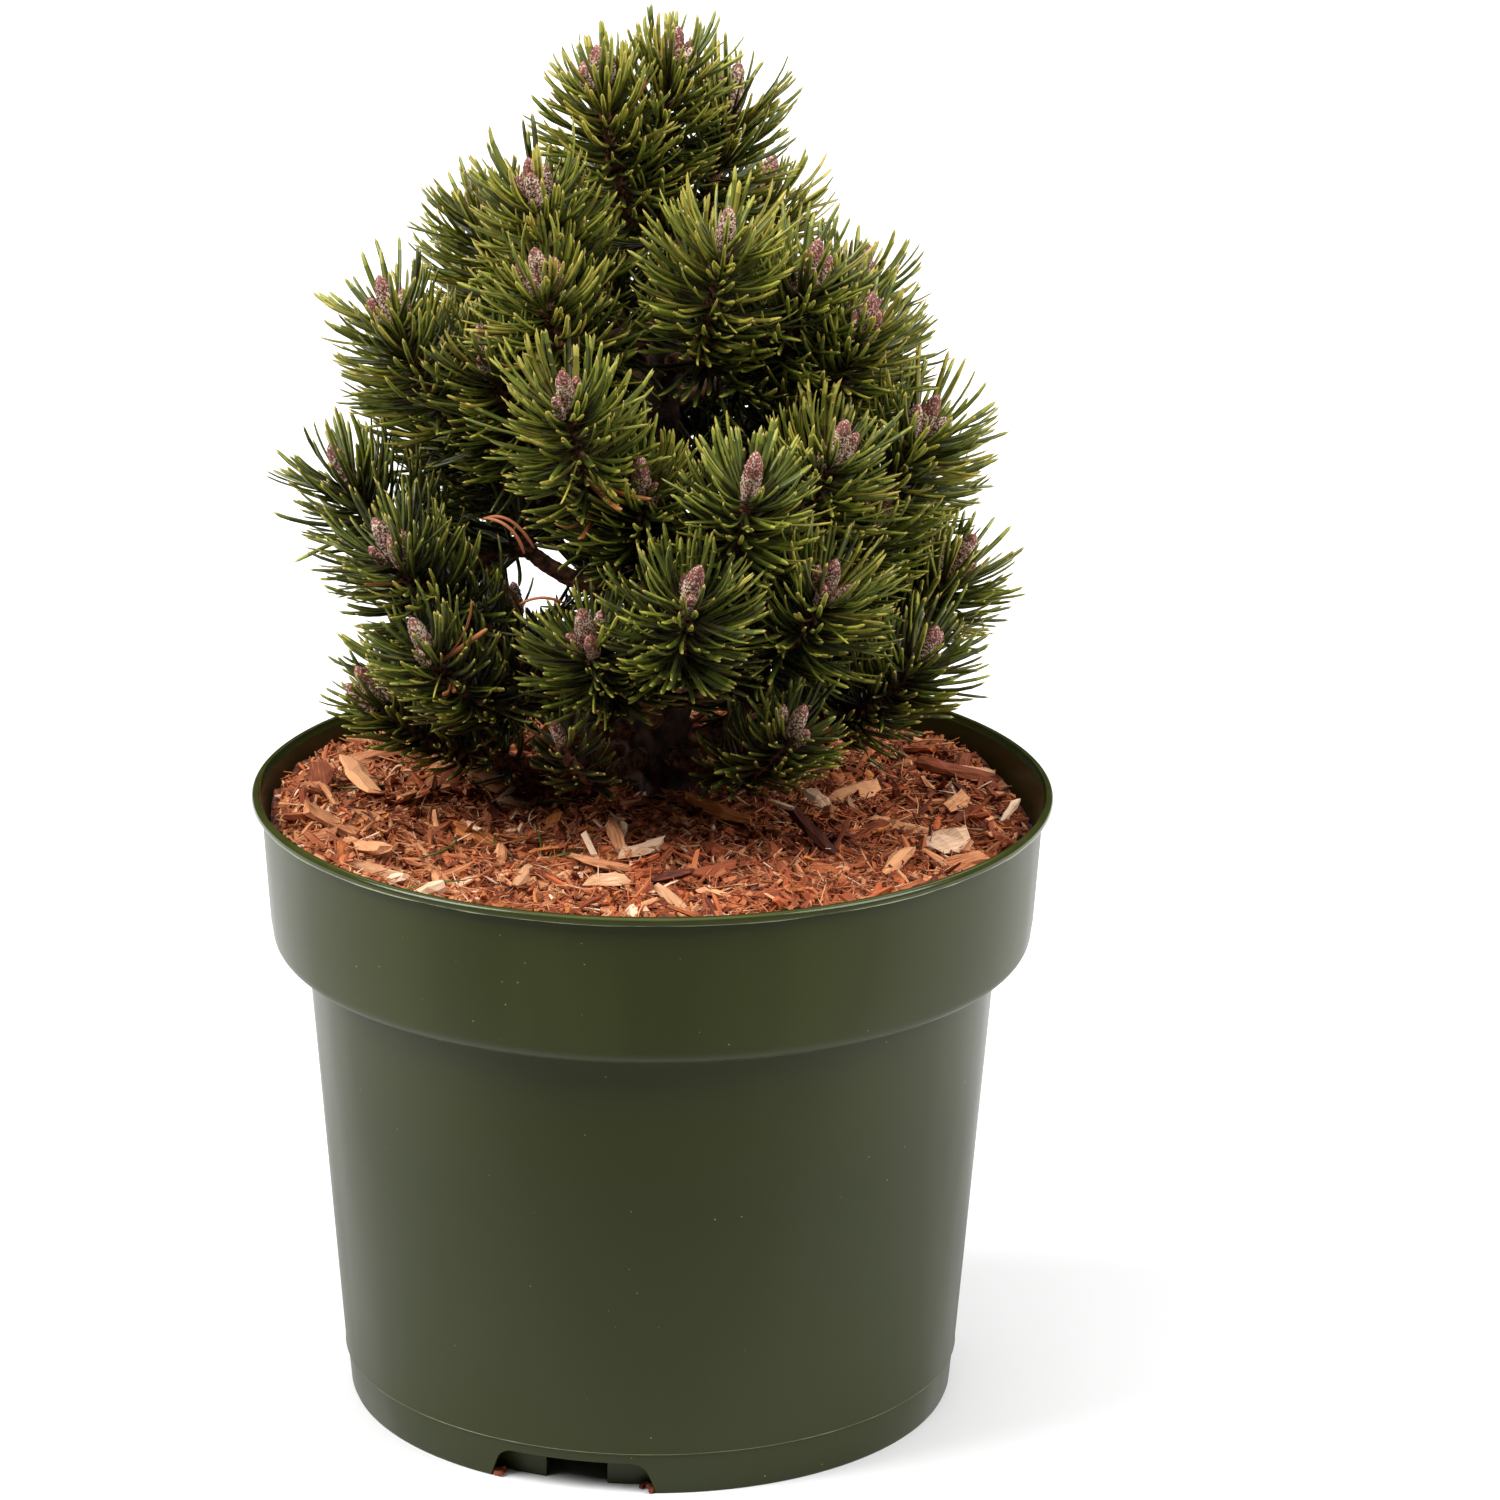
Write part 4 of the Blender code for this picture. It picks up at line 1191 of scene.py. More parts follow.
    def chips(self, kind: ChipKind, rng: np.random.Generator, sheet: Sheet) -> None:
        """Adds one kind of chip at random places, headings, tilts and tones."""
        count, lengths, shares, thick, tilt, stations, pale = kind.value
        length = rng.uniform(*lengths, count)
        width, depth = length * rng.uniform(*shares, count), thick * rng.uniform(0.5, 1.2, count)
        size = np.stack([length, width, depth], -1)
        normal = unit(np.stack([*rng.normal(0, tilt, (2, count)), np.ones(count)], -1))
        x, y = self.scatter(length * 0.5, rng)
        z = self.height(x, y) + thick * rng.uniform(0.1, 1.2, count) + 0.0008
        weights = np.array(TONE_WEIGHTS) * (1.0 - pale)
        weights[Tone.CREAM.value] = pale
        tone = rng.choice(len(weights), count, p=weights)
        # Painted light and shade: chips towards the right take darker tones, those towards the left
        # lighter.
        for side, others in ((x, PAINTED_SHADE_TONES), (-x, PAINTED_LIGHT_TONES)):
            moved = rng.random(count) < self.painted_light_share * np.clip(side / self.painted_light_reach, 0.0, 1.0)
            tone = np.where(moved, np.array([t.value for t in others])[tone], tone)
        spot = Spots(np.stack([x, y, z], -1), size, rng.random(count) * math.tau, normal, tone)
        if stations:
            self.splintered(sheet, spot, stations, rng)
        else:
            self.crumbs(sheet, spot, rng)

    def placed(self, rng: np.random.Generator, sheet: Sheet) -> None:
        """Adds the large pieces that have places of their own, tipped to the front."""
        rows = np.array([[s.x, s.y, s.length, s.width, s.heading] for s in PLACED_SLABS])
        x, y, length, width, heading = rows.T
        count = len(rows)
        place = np.stack([x, y, self.height(x, y) + self.placed_lift], -1)
        pitch = np.radians(rng.normal(self.slab_pitch, 4.0, count))
        normal = unit(np.stack([rng.normal(0, 0.06, count), -np.sin(pitch), np.cos(pitch)], -1))
        size = np.stack([length, width, rng.uniform(0.0018, 0.0030, count)], -1)
        tone = np.array([s.tone.value for s in PLACED_SLABS])
        self.splintered(sheet, Spots(place, size, np.radians(heading), normal, tone), 6, rng)

    def caught(self, rng: np.random.Generator, sheet: Sheet) -> None:
        """Adds a few crumbs caught in the corners of the notches, none below the ground."""
        pot, each, ground = self.pot, 5, 0.00005
        bearings = pot.notch_bearing + np.arange(pot.notch_count) * 360.0 / pot.notch_count
        half = math.degrees((pot.notch_width + pot.notch_flare) / 2 / pot.foot) - 1.0
        turn = np.radians(np.repeat([b + side * half for b in bearings for side in (-1, 1)], each))
        count = len(turn)
        turn = turn + rng.normal(0.0, 0.012, count)
        reach = pot.foot - rng.uniform(0.001, 0.005, count)
        place = reach[:, None] * level_ring(turn) + 0.0014 * UP
        length, full = rng.uniform(0.0014, 0.0030, count), np.ones(count)
        size = np.stack([length, 0.0012 * full, 0.0010 * full], -1)
        normal = unit(np.stack([*rng.normal(0, 0.2, (2, count)), full], -1))
        tone = rng.choice([t.value for t in CAUGHT_TONES], count)
        self.crumbs(sheet, Spots(place, size, rng.random(count) * math.tau, normal, tone), rng)
        corners = sheet.points[-1]
        corners[:, 2] = np.maximum(corners[:, 2], ground)

    def strands(self, sheet: Sheet, kind: Strand, tone: Array, rng: np.random.Generator) -> None:
        """Adds thin three-sided strands that lie on the bed, bent along a parabola.

        Station t of a strand is middle + along l (t - 0.5) + across c (t - 0.5)^2.

        Args:
            sheet: Takes the strands.
            kind: Their sizes and slope.
            tone: Their material numbers, one for each strand.
            rng: The mulch's random numbers.
        """
        count, stations, sides = len(tone), len(kind.taper), 3
        size = rng.uniform(*kind.length, count)
        t = np.linspace(-0.5, 0.5, stations)
        heading = rng.random(count) * math.tau
        steep = rng.normal(0.0, kind.slope, count)
        along = unit(np.stack([np.cos(heading), np.sin(heading), steep], -1))
        across, up = side_axes(along)
        x, y = self.scatter(size * 0.5, rng)
        middle = np.stack([x, y, self.height(x, y) + rng.uniform(*kind.lift, count)], -1)
        curl = rng.normal(0.0, 0.35, (count, 1, 1)) * size[:, None, None]
        path = middle[:, None] + along[:, None] * (size[:, None] * t)[..., None]
        path = path + across[:, None] * curl * (t**2)[:, None]
        turn = np.arange(sides) * math.tau / sides
        thin = rng.uniform(*kind.gauge, count)[:, None] * np.array(kind.taper)
        ring = across[:, None, None] * np.cos(turn)[:, None] + up[:, None, None] * np.sin(turn)[:, None]
        points = path[:, :, None] + thin[..., None, None] * ring
        last = (stations - 1) * sides
        ends = np.array([[0, 2, 1], [last, last + 1, last + 2]])
        run = np.broadcast_to((size[:, None] * t)[..., None], (count, stations, sides))
        grain = np.stack([run, np.zeros_like(run)], -1) + rng.random((count, 1, 1, 2))
        sheet.add_many(points, [grid_quads(stations, sides), ends], [tone, tone], grain)

    def build(self) -> None:
        """Makes the bed, the chips, the fibres and a few fallen needles."""
        materials = [tone.make() for tone in BARK_TONES]
        self.bed(MulchFines().make())
        rng = np.random.default_rng(self.seed)
        for kind in ChipKind:
            sheet = Sheet()
            self.chips(kind, rng, sheet)
            if kind is ChipKind.SLABS:
                self.placed(rng, sheet)
            if kind is ChipKind.CRUMBS:
                self.caught(rng, sheet)
            settle(sheet.make("mulch_" + kind.name.lower(), materials, smooth=False), slot="mulch")
        sheet = Sheet()
        tones, shares = [t.value for t in FIBRE_TONES], list(FIBRE_TONES.values())
        self.strands(sheet, FIBRE, rng.choice(tones, self.fibres, p=shares), rng)
        settle(sheet.make("mulch_fibres", materials), slot="mulch")
        sheet = Sheet()
        self.strands(sheet, FALLEN_NEEDLE, rng.choice(len(FALLEN), self.fallen), rng)
        settle(sheet.make("fallen_needles", [skin.make() for skin in FALLEN]), slot="needles")


# How the plant grows


@dataclass(frozen=True)
class Shoot:
    """A shoot's tip: its height, bearing, and share of the crown's reach there.

    The vigour is the share of the usual number and length of needles that it bears,
    and the head may have grown up from its tip by some more.
    """

    height: float
    bearing: float
    share: float
    vigour: float = 1.0
    grown: float = 0.0


@dataclass(frozen=True)
class Bough:
    """A bough and the shoots that it carries."""

    name: str
    shoots: tuple[Shoot, ...]


@dataclass(frozen=True)
class Ring:
    """Like boughs spaced evenly round the far side of the crown."""

    name: str
    count: int
    first: float
    last: float
    shoots: tuple[Shoot, ...]


LEADER = (Shoot(0.388, 90.0, 0.26), Shoot(0.385, -46.0, 0.79), Shoot(0.374, 112.0, 0.70))

FRONT_BOUGHS = (
    Bough("upper_left", (Shoot(0.358, -46.0, 0.94), Shoot(0.336, -33.0, 0.90))),
    Bough("upper_right", (Shoot(0.346, 27.0, 0.81), Shoot(0.333, 58.0, 0.84))),
    Bough("left_shoulder", (Shoot(0.322, -68.0, 1.18), Shoot(0.312, -48.0, 0.84))),
    Bough("right_shoulder", (Shoot(0.319, 66.0, 0.96), Shoot(0.308, 98.0, 0.90))),
    Bough("front_centre", (Shoot(0.308, -18.0, 0.98), Shoot(0.280, -2.0, 0.72))),
    Bough("front_right", (Shoot(0.285, 21.0, 0.98), Shoot(0.290, 44.0, 0.95))),
    Bough("right_side", (Shoot(0.291, 70.0, 1.07), Shoot(0.264, 62.0, 0.87))),
    Bough("left_side", (Shoot(0.271, -80.0, 1.10), Shoot(0.288, -97.0, 0.86))),
    Bough("low_left", (Shoot(0.254, -55.0, 1.07, 1.0, 0.006), Shoot(0.226, -44.0, 1.12, 0.95, 0.010))),
    Bough("low_front", (Shoot(0.253, 8.0, 1.02, 1.0, 0.004), Shoot(0.236, -13.0, 0.88, 0.9, 0.005))),
    Bough("low_front_right", (Shoot(0.249, 36.0, 1.02, 1.0, 0.006),)),
    Bough("low_right", (Shoot(0.229, 60.0, 1.12), Shoot(0.243, 86.0, 1.10))),
    Bough("skirt_right", (Shoot(0.212, 31.0, 1.04, 0.78, 0.003),)),
    Bough("skirt_front", (Shoot(0.211, -20.0, 0.92, 0.32),)),
    Bough("skirt_left", (Shoot(0.206, -68.0, 1.14, 0.75, 0.006),)),
)

BACK_RINGS = (
    Ring("upper_back", 3, 132.0, 246.0, (Shoot(0.341, 8.0, 0.92), Shoot(0.318, -16.0, 1.00))),
    Ring("middle_back", 4, 112.0, 230.0, (Shoot(0.297, 12.0, 1.00), Shoot(0.266, -9.0, 1.00))),
    Ring("lower_back", 4, 112.0, 254.0, (Shoot(0.240, -12.0, 1.00), Shoot(0.212, 12.0, 1.00))),
)


def all_boughs() -> list[Bough]:
    """Every bough: those that the front shows, and the rings of like ones behind."""
    boughs = list(FRONT_BOUGHS)
    for ring in BACK_RINGS:
        for index, bearing in enumerate(np.linspace(ring.first, ring.last, ring.count)):
            shoots = tuple(Shoot(s.height, bearing + s.bearing, s.share) for s in ring.shoots)
            boughs.append(Bough(f"{ring.name}_{index + 1}", shoots))
    return boughs


@dataclass(frozen=True)
class Growth:
    """The plant's rule of growth: where its trunk, boughs and shoots run.

    The rule and its sizes are those that the solids follow, so that bark and needles
    lie where their solids do.
    """

    ground: float = 0.1755
    trunk_x: float = 0.001
    trunk_y: float = 0.018
    trunk_lean: float = 0.004
    trunk_sway: float = 0.003
    trunk_top: float = 0.334
    trunk_foot_radius: float = 0.0105
    trunk_top_radius: float = 0.0034
    flare: float = 0.0060
    flare_height: float = 0.010
    crown_x: float = -0.001
    crown_top: float = 0.400
    crown_widest: float = 0.262
    crown_foot: float = 0.190
    crown_radius: float = 0.083
    crown_foot_share: float = 0.84
    crown_power: float = 1.6
    back_share: float = 0.90
    bough_radius: float = 0.0033
    bough_to_trunk: float = 0.62
    bough_share: float = 0.52
    bough_bend: float = 0.62
    bough_points: int = 4
    fork_drop: float = 0.42
    fork_step: float = 0.002
    lowest_fork: float = 0.188
    highest_fork: float = 0.322
    twig_radius: float = 0.0022
    top_run: float = 0.0135
    shoot_length: float = 0.036
    lean_foot: float = 60.0
    lean_top: float = 8.0
    lean_power: float = 0.8
    clearance: float = 0.0006

    def trunk_axis(self, height: float) -> Array:
        """The middle of the trunk at a height: a slight lean and one soft bend."""
        share = (height - self.ground) / (self.trunk_top - self.ground)
        bend = self.trunk_sway * math.sin(math.pi * share)
        x = self.trunk_x + self.trunk_lean * share - bend
        return np.array([x, self.trunk_y - bend / 2, height])

    def trunk_radius(self, height: float) -> float:
        """The trunk's radius: an even taper, with a flare at the ground."""
        share = (height - self.ground) / (self.trunk_top - self.ground)
        taper = self.trunk_foot_radius + (self.trunk_top_radius - self.trunk_foot_radius) * share
        return taper + self.flare * math.exp((self.ground - height) / self.flare_height)

    @staticmethod
    def outward(bearing: float) -> Array:
        """The level direction away from the trunk at a bearing."""
        turn = math.radians(bearing)
        return np.array([math.sin(turn), -math.cos(turn), 0.0])

    def reach(self, height: float) -> float:
        """How far the shoots' tips stand from the trunk at a height."""
        if height > self.crown_widest:
            share = min(1.0, (height - self.crown_widest) / (self.crown_top - self.crown_widest))
            return self.crown_radius * (1.0 - share**self.crown_power) ** (2.0 / 3.0)
        share = (self.crown_widest - height) / (self.crown_widest - self.crown_foot)
        return self.crown_radius * (1.0 - (1.0 - self.crown_foot_share) * share**2)

    def tip(self, shoot: Shoot) -> Array:
        """Where a shoot's wood ends and its buds begin."""
        rear = 0.5 - 0.5 * math.cos(math.radians(shoot.bearing))
        reach = self.reach(shoot.height) * shoot.share * (1.0 - (1.0 - self.back_share) * rear)
        middle = np.array([self.crown_x, self.trunk_y, shoot.height])
        return middle + reach * self.outward(shoot.bearing)

    def heading(self, shoot: Shoot) -> Array:
        """A shoot's direction: far out at the crown's foot and nearly upright at its top."""
        share = max(0.0, self.crown_top - shoot.height) / (self.crown_top - self.crown_foot)
        lean = math.radians(self.lean_top + (self.lean_foot - self.lean_top) * share**self.lean_power)
        return self.outward(shoot.bearing) * math.sin(lean) + np.array([0.0, 0.0, math.cos(lean)])

    def bough_path(self, bough: Bough, fork_height: float, count: int) -> Array:
        """A bough's middle line, from inside the trunk to where it enters its needles."""
        feet = [self.tip(s) - self.shoot_length * self.heading(s) for s in bough.shoots]
        foot = np.mean(feet, axis=0)
        fork = self.trunk_axis(fork_height)
        away = math.hypot(foot[0] - fork[0], foot[1] - fork[1])
        end = fork + (foot - fork) * (self.bough_share + self.trunk_radius(fork_height) / away)
        level = np.array([end[0] - fork[0], end[1] - fork[1], 0.0])
        return bent_path(fork, fork + self.bough_bend * level, end, count)

    def bough_root(self, fork_height: float) -> float:
        """A bough's radius where it leaves the trunk."""
        return min(self.bough_radius, self.bough_to_trunk * self.trunk_radius(fork_height))

    def forks(self, boughs: list[Bough]) -> dict[str, float]:
        """The height at which each bough leaves the trunk, clear of the earlier boughs."""
        found: dict[str, float] = {}
        paths: list[tuple[Array, float]] = []
        for bough in boughs:
            height = np.mean([s.height for s in bough.shoots])
            wanted = height - self.fork_drop * self.reach(height) - 0.3 * self.shoot_length
            for offset in sorted(np.arange(-30, 31) * self.fork_step, key=abs):
                fork = min(self.highest_fork, max(self.lowest_fork, wanted + offset))
                path = self.bough_path(bough, fork, self.bough_points)
                root = self.bough_root(fork)
                if all(self.are_clear(path, root, *other) for other in paths):
                    break
            found[bough.name] = fork
            paths.append((path, root))
        return found

    def are_clear(self, path: Array, root: float, other: Array, other_root: float) -> bool:
        """Whether two boughs keep apart outside the trunk."""
        share = np.linspace(0.0, 1.0, 6)[:, None]
        points = np.vstack([a + (b - a) * share for a, b in zip(path, path[1:])])
        outside = [
            p for p in points if math.dist(p, self.trunk_axis(p[2])) > 0.8 * self.trunk_radius(p[2])
        ]
        starts, steps = other[:-1], np.diff(other, axis=0)
        offsets = np.array(outside)[:, None, :] - starts
        t = np.clip(np.sum(offsets * steps, axis=2) / np.sum(steps**2, axis=1), 0.0, 1.0)
        near = np.linalg.norm(offsets - t[..., None] * steps, axis=2)
        return near.min() > root + other_root + self.clearance


# Bark


@dataclass(frozen=True)
class Wood:
    """The trunk, boughs and twigs, with the relief of their bark."""

    growth: Growth
    trunk_rows: int = 200
    trunk_sides: int = 56
    trunk_plates: float = 0.0030
    trunk_relief: float = 0.0006
    root_depth: float = 0.0022
    root_height: float = 0.012
    limb_rows: int = 40
    limb_sides: int = 18
    limb_plates: float = 0.0018
    limb_relief: float = 0.00035
    limb_swell: float = 0.35
    twig_sides: int = 16
    lozenge_pitch: float = 0.0009
    lozenge_depth: float = 0.16

    def relief(self, path: Array, radii: Array, sides: int, plates: float, depth: float) -> Array:
        """Radii with rough plates and fine cracks, from noise at each point's place."""
        turn = turns(sides)
        ring = np.stack([np.cos(turn), np.sin(turn), np.zeros(sides)], -1)
        places = path[:, None] + radii[:, None, None] * ring
        places = places * np.array([1.0, 1.0, 0.5])
        rough = np.abs(lattice_noise(places, plates, 21))
        rough = rough + 0.5 * lattice_noise(places, plates * 0.4, 22)
        return radii[:, None] + depth * (rough - 0.25)

    def leaf_bases(self, path: Array, radii: Array) -> Array:
        """Radii with the small lozenges that shed needles leave.

        The lozenges are sin(4a + s / p) * sin(4a - s / p), where a is the angle round the
        twig, s the distance along it and p their pitch.
        """
        run, turn = run_along(path)[:, None] / self.lozenge_pitch, turns(self.twig_sides)
        scales = np.sin(4 * turn + run) * np.sin(4 * turn - run)
        return radii[:, None] * (1.0 + self.lozenge_depth * scales)

    def trunk(self, material: bpy.types.Material) -> None:
        """The trunk from its flat cut to the foot of the leading shoots."""
        g = self.growth
        heights = np.linspace(g.ground, g.trunk_top, self.trunk_rows)
        path = np.array([g.trunk_axis(h) for h in heights])
        radii = np.array([g.trunk_radius(h) for h in heights])
        turn = turns(self.trunk_sides)
        relief = self.relief(path, radii, self.trunk_sides, self.trunk_plates, self.trunk_relief)
        low = np.exp((g.ground - heights) / self.root_height)[:, None]
        roots = self.root_depth * low * (np.sin(5 * turn + 0.6) + 0.5 * np.sin(9 * turn))
        sheet = Sheet()
        sweep(sheet, path, relief + roots, self.trunk_sides)
        settle(sheet.make("trunk_bark", [material]), "trunk", slot="bark")

    def limbs(self, boughs: list[Bough], forks: dict[str, float], bark: bpy.types.Material) -> None:
        """The boughs, one piece each, swollen where they leave the trunk."""
        g, rows, sides = self.growth, self.limb_rows, self.limb_sides
        for bough in boughs:
            fork = forks[bough.name]
            path = g.bough_path(bough, fork, rows)
            radii = np.linspace(g.bough_root(fork), g.twig_radius, rows)
            radii = radii * (1.0 + self.limb_swell * np.exp(-np.linspace(0.0, 9.0, rows)))
            relief = self.relief(path, radii, sides, self.limb_plates, self.limb_relief)
            sheet = Sheet()
            sweep(sheet, path, relief, sides)
            settle(sheet.make("bark_" + bough.name, [bark]), "bough_" + bough.name, slot="bark")


# Needles and buds


@dataclass(frozen=True)
class Habit:
    """How one spray's needles grow: tone, share of the usual length, and lift.

    The lift is the share of each needle's droop that is taken away.
    """

    tone: float
    size: float
    lift: float


@dataclass(frozen=True)
class CaughtNeedle:
    """A dry needle caught among the sprays: the three points of its curve."""

    start: Point
    bend: Point
    end: Point

    def add_to(self, sheet: Sheet) -> None:
        """Adds the needle as a tube that narrows at both ends."""
        count, gauge = 13, 0.00046
        radii = np.full(count, gauge)
        radii[[0, 1, -2, -1]] *= (0.6, 0.9, 0.9, 0.5)
        path = bent_path(np.array(self.start), np.array(self.bend), np.array(self.end), count)
        sweep(sheet, path, radii, 6)


CAUGHT_NEEDLES = (
    CaughtNeedle((-0.0466, -0.0500, 0.2752), (-0.0386, -0.0580, 0.2816), (-0.0322, -0.0520, 0.2679)),
    CaughtNeedle((-0.0460, -0.0520, 0.2764), (-0.0374, -0.0600, 0.2782), (-0.0349, -0.0540, 0.2670)),
    CaughtNeedle((-0.0363, -0.0460, 0.2499), (-0.0303, -0.0520, 0.2553), (-0.0241, -0.0480, 0.2509)),
)


@dataclass(frozen=True)
class SkyGap:
    """A straight opening through the crown, between two points and a radius wide."""

    front: Point
    back: Point
    radius: float

    def away(self, points: Array) -> Array:
        """How far points stand from the opening's middle line."""
        front, back = np.array(self.front), np.array(self.back)
        run = unit(back - front)
        offset = points - front
        along = np.clip(offset @ run, 0.0, np.linalg.norm(back - front))
        return np.linalg.norm(offset - along[..., None] * run, axis=-1)


SKY_GAPS = (
    SkyGap((-0.0308, -0.0900, 0.2707), (-0.0381, 0.1150, 0.2098), 0.0080),
    SkyGap((-0.0262, -0.0900, 0.2737), (-0.0327, 0.1150, 0.2130), 0.0055),
)


@dataclass
class Kit:
    """What the masses share: random numbers, wood, finishes, and the joined pieces."""

    rng: np.random.Generator
    wood: Wood
    needle_skins: list[bpy.types.Material]
    twigs: Sheet = field(default_factory=Sheet)
    buds: Sheet = field(default_factory=Sheet)


@dataclass
class Foliage:
    """The shoots of the crown: twigs, pairs of needles and winter buds."""

    growth: Growth
    bed: Mulch
    head_pairs: int = 112
    stem_pairs_per_mm: float = 1.15
    length: float = 0.0273
    length_spread: float = 0.12
    half_width: float = 0.00070
    crown_length: float = 0.87
    foot_length: float = 0.86
    lift: float = 0.60
    foot_lift: float = 0.90
    lean_foot: float = 80.0
    lean_tip: float = 47.0
    lean_spread: float = 9.0
    pair_spread: float = 5.5
    curl: float = 0.19
    curl_spread: float = 0.09
    stray: float = 0.045
    rise: float = 0.75
    dry_share: float = 0.0035
    gap_spin: float = 1.05
    tone: float = 1.25
    tone_spread: float = 0.4
    painted_shade_by_vigour: float = 1.6
    tone_by_height: float = 0.7
    tone_height: float = 0.29
    tone_reach: float = 0.08
    top_from: float = 0.350
    top_reach: float = 0.035
    foot_from: float = 0.245
    foot_reach: float = 0.030
    weak_size: float = 0.45
    top_closing: float = 7.0
    # How many tones darker the stem's needles are, as painted shade deep in the crown.
    stem_closing: float = 6.0
    painted_shade_stem_tone: float = 1.0
    root_offset: float = 0.0013
    skywards: float = 0.55
    rest_above_bed: float = 0.0022
    bud_length: float = 0.0152
    bud_radius: float = 0.0025
    stations: tuple = (0.0, 0.05, 0.22, 0.42, 0.62, 0.80, 0.94)
    taper: tuple = (0.60, 0.90, 1.0, 1.0, 1.0, 0.97, 0.72)
    # The zone of each facet along the needle; the lighter side facets are partly a painted highlight.
    zones: tuple = ((1, 0, 0, 0), (1, 0, 1, 0), (2, 0, 1, 1), (2, 1, 2, 1), (2, 2, 2, 2))
    small_buds: tuple = (1, 1, 2, 2, 3, 4)
    small_bud_offset: float = 0.0034
    small_bud_drop: float = 0.0012
    seed: int = 5

    def shoot_path(self, start: Array, along: Array, shoot: Shoot) -> tuple[Array, float]:
        """A shoot's middle line, and the share of its length at which its head begins.

        The stem is the cubic curve from the fork to the head's foot that keeps the
        direction of both. The head then bends upwards to its tip.
        """
        g = self.growth
        tip, heading = g.tip(shoot) + shoot.grown * UP, g.heading(shoot)
        foot = tip - g.shoot_length * heading
        upright = unit(heading + self.rise * UP)
        bend = tip - 0.5 * g.shoot_length * upright
        head_points, stem_points = 22, 17
        head = bent_path(foot, bend, tip, head_points)
        far = np.linalg.norm(foot - start)
        first, second = start + along * far / 3, foot - unit(bend - foot) * far / 3
        t = np.linspace(0.0, 1.0, stem_points + 1)[:-1, None]
        u = 1.0 - t
        stem = u**3 * start + 3 * u**2 * t * first + 3 * u * t**2 * second + t**3 * foot
        path = np.vstack([stem, head])
        run = run_along(path)
        return path, run[stem_points] / run[-1]

    def needle_lines(
        self, path: Array, share: Array, lean: Array, habit: Habit, rng: np.random.Generator
    ) -> tuple[Array, Array, Array]:
        """The middle lines of pairs of needles along a path.

        Station s of a needle is at root + L (s - 0.10 s^3) heading + c L s^2 curl, where
        curl is at right angles to the needle, towards the shoot's tip and the sky.

        Args:
            path: The shoot's middle line.
            share: Where each pair stands along it, from 0 to 1.
            lean: Each pair's angle from the shoot, in degrees.
            habit: The spray's length and lift.
            rng: The plant's random numbers.

        Returns:
            Each needle's points, its heading and the way that it curls.
        """
        pairs = len(share)
        count = pairs * 2
        run = run_along(path)
        at = np.repeat(share, 2) * run[-1]
        root = np.stack([np.interp(at, run, path[:, k]) for k in range(3)], -1)
        slope = np.gradient(path, axis=0)
        axis = unit(np.stack([np.interp(at, run, slope[:, k]) for k in range(3)], -1))
        side, other = side_axes(axis)
        order = np.repeat(np.arange(pairs), 2)
        turn = order * GOLDEN_ANGLE + rng.uniform(0, math.tau) + np.repeat(rng.normal(0, 0.15, pairs), 2)
        around = side * np.cos(turn)[:, None] + other * np.sin(turn)[:, None]
        level = np.cross(axis, around)
        split = np.tile([-1.0, 1.0], pairs) * np.radians(rng.normal(self.pair_spread, 2.0, count))
        lean = np.radians(np.repeat(lean + rng.normal(0, self.lean_spread, pairs), 2))
        heading = axis * np.cos(lean)[:, None] + around * np.sin(lean)[:, None]
        heading = unit(heading + level * np.tan(split)[:, None] + rng.normal(0, 0.03, (count, 3)))
        drop = np.minimum(heading[:, 2], 0.0)
        heading[:, 2] -= habit.lift * drop
        heading = unit(heading)
        root = root + around * self.root_offset
        longer = np.repeat(rng.normal(0, self.length_spread, pairs), 2)
        size = habit.size * self.length * (1.0 + longer)
        size = size * (1.0 - 0.12 * np.repeat(share, 2) ** 6) * rng.uniform(0.95, 1.0, count)
        wanted = axis + self.skywards * UP
        curl = unit(wanted - heading * np.sum(heading * wanted, -1, keepdims=True))
        bend = rng.normal(self.curl, self.curl_spread, count) * size
        stray = rng.normal(0.0, self.stray, count) * size
        s = np.array(self.stations + (1.0,))
        line = root[:, None] + heading[:, None] * (size[:, None] * (s - 0.10 * s**3))[..., None]
        line = line + curl[:, None] * (bend[:, None] * s**2)[..., None]
        line = line + np.cross(heading, curl)[:, None] * (stray[:, None] * s**2)[..., None]
        rest = self.bed.height(line[..., 0], line[..., 1]) + self.rest_above_bed
        line[..., 2] = np.maximum(line[..., 2], rest)
        return line, heading, curl

    def needle_colours(
        self, share: Array, tone: float, rng: np.random.Generator
    ) -> tuple[Array, Array]:
        """The material numbers of pairs of needles.

        A needle has a sheath at its foot, three greens that change over the zones of its
        side in a broken line, and a yellow tip. Two of its side facets turn lighter sooner
        than the others: partly its pale margins, partly a painted highlight along its edges.
        A dry one is brown from end to end.

        Args:
            share: Where each pair stands along the shoot, from 0 to 1.
            tone: The spray's tone.
            rng: The plant's random numbers.

        Returns:
            The numbers of each needle's sides and foot, and of the faces at its tip.
        """
        pairs, steps = len(share), len(NEEDLE_ZONES)
        hue = np.repeat(rng.normal(0, 1.0, pairs), 2) + 0.9 * np.repeat(share, 2)
        tones = np.clip(np.round(tone + hue), 0, len(NEEDLE_TONES) - 1).astype(int)
        dry = np.repeat(rng.random(pairs) < self.dry_share, 2)[:, None]
        sheath = steps * len(NEEDLE_TONES)
        tip, brown = sheath + 1, sheath + 2
        ring = np.full((pairs * 2, 4), sheath)
        greens = tones[:, None] * steps + np.ravel(self.zones)
        sides = np.concatenate([ring, greens, ring[:, :1]], axis=1)
        return np.where(dry, brown, sides), np.where(dry, brown, np.full_like(ring, tip))

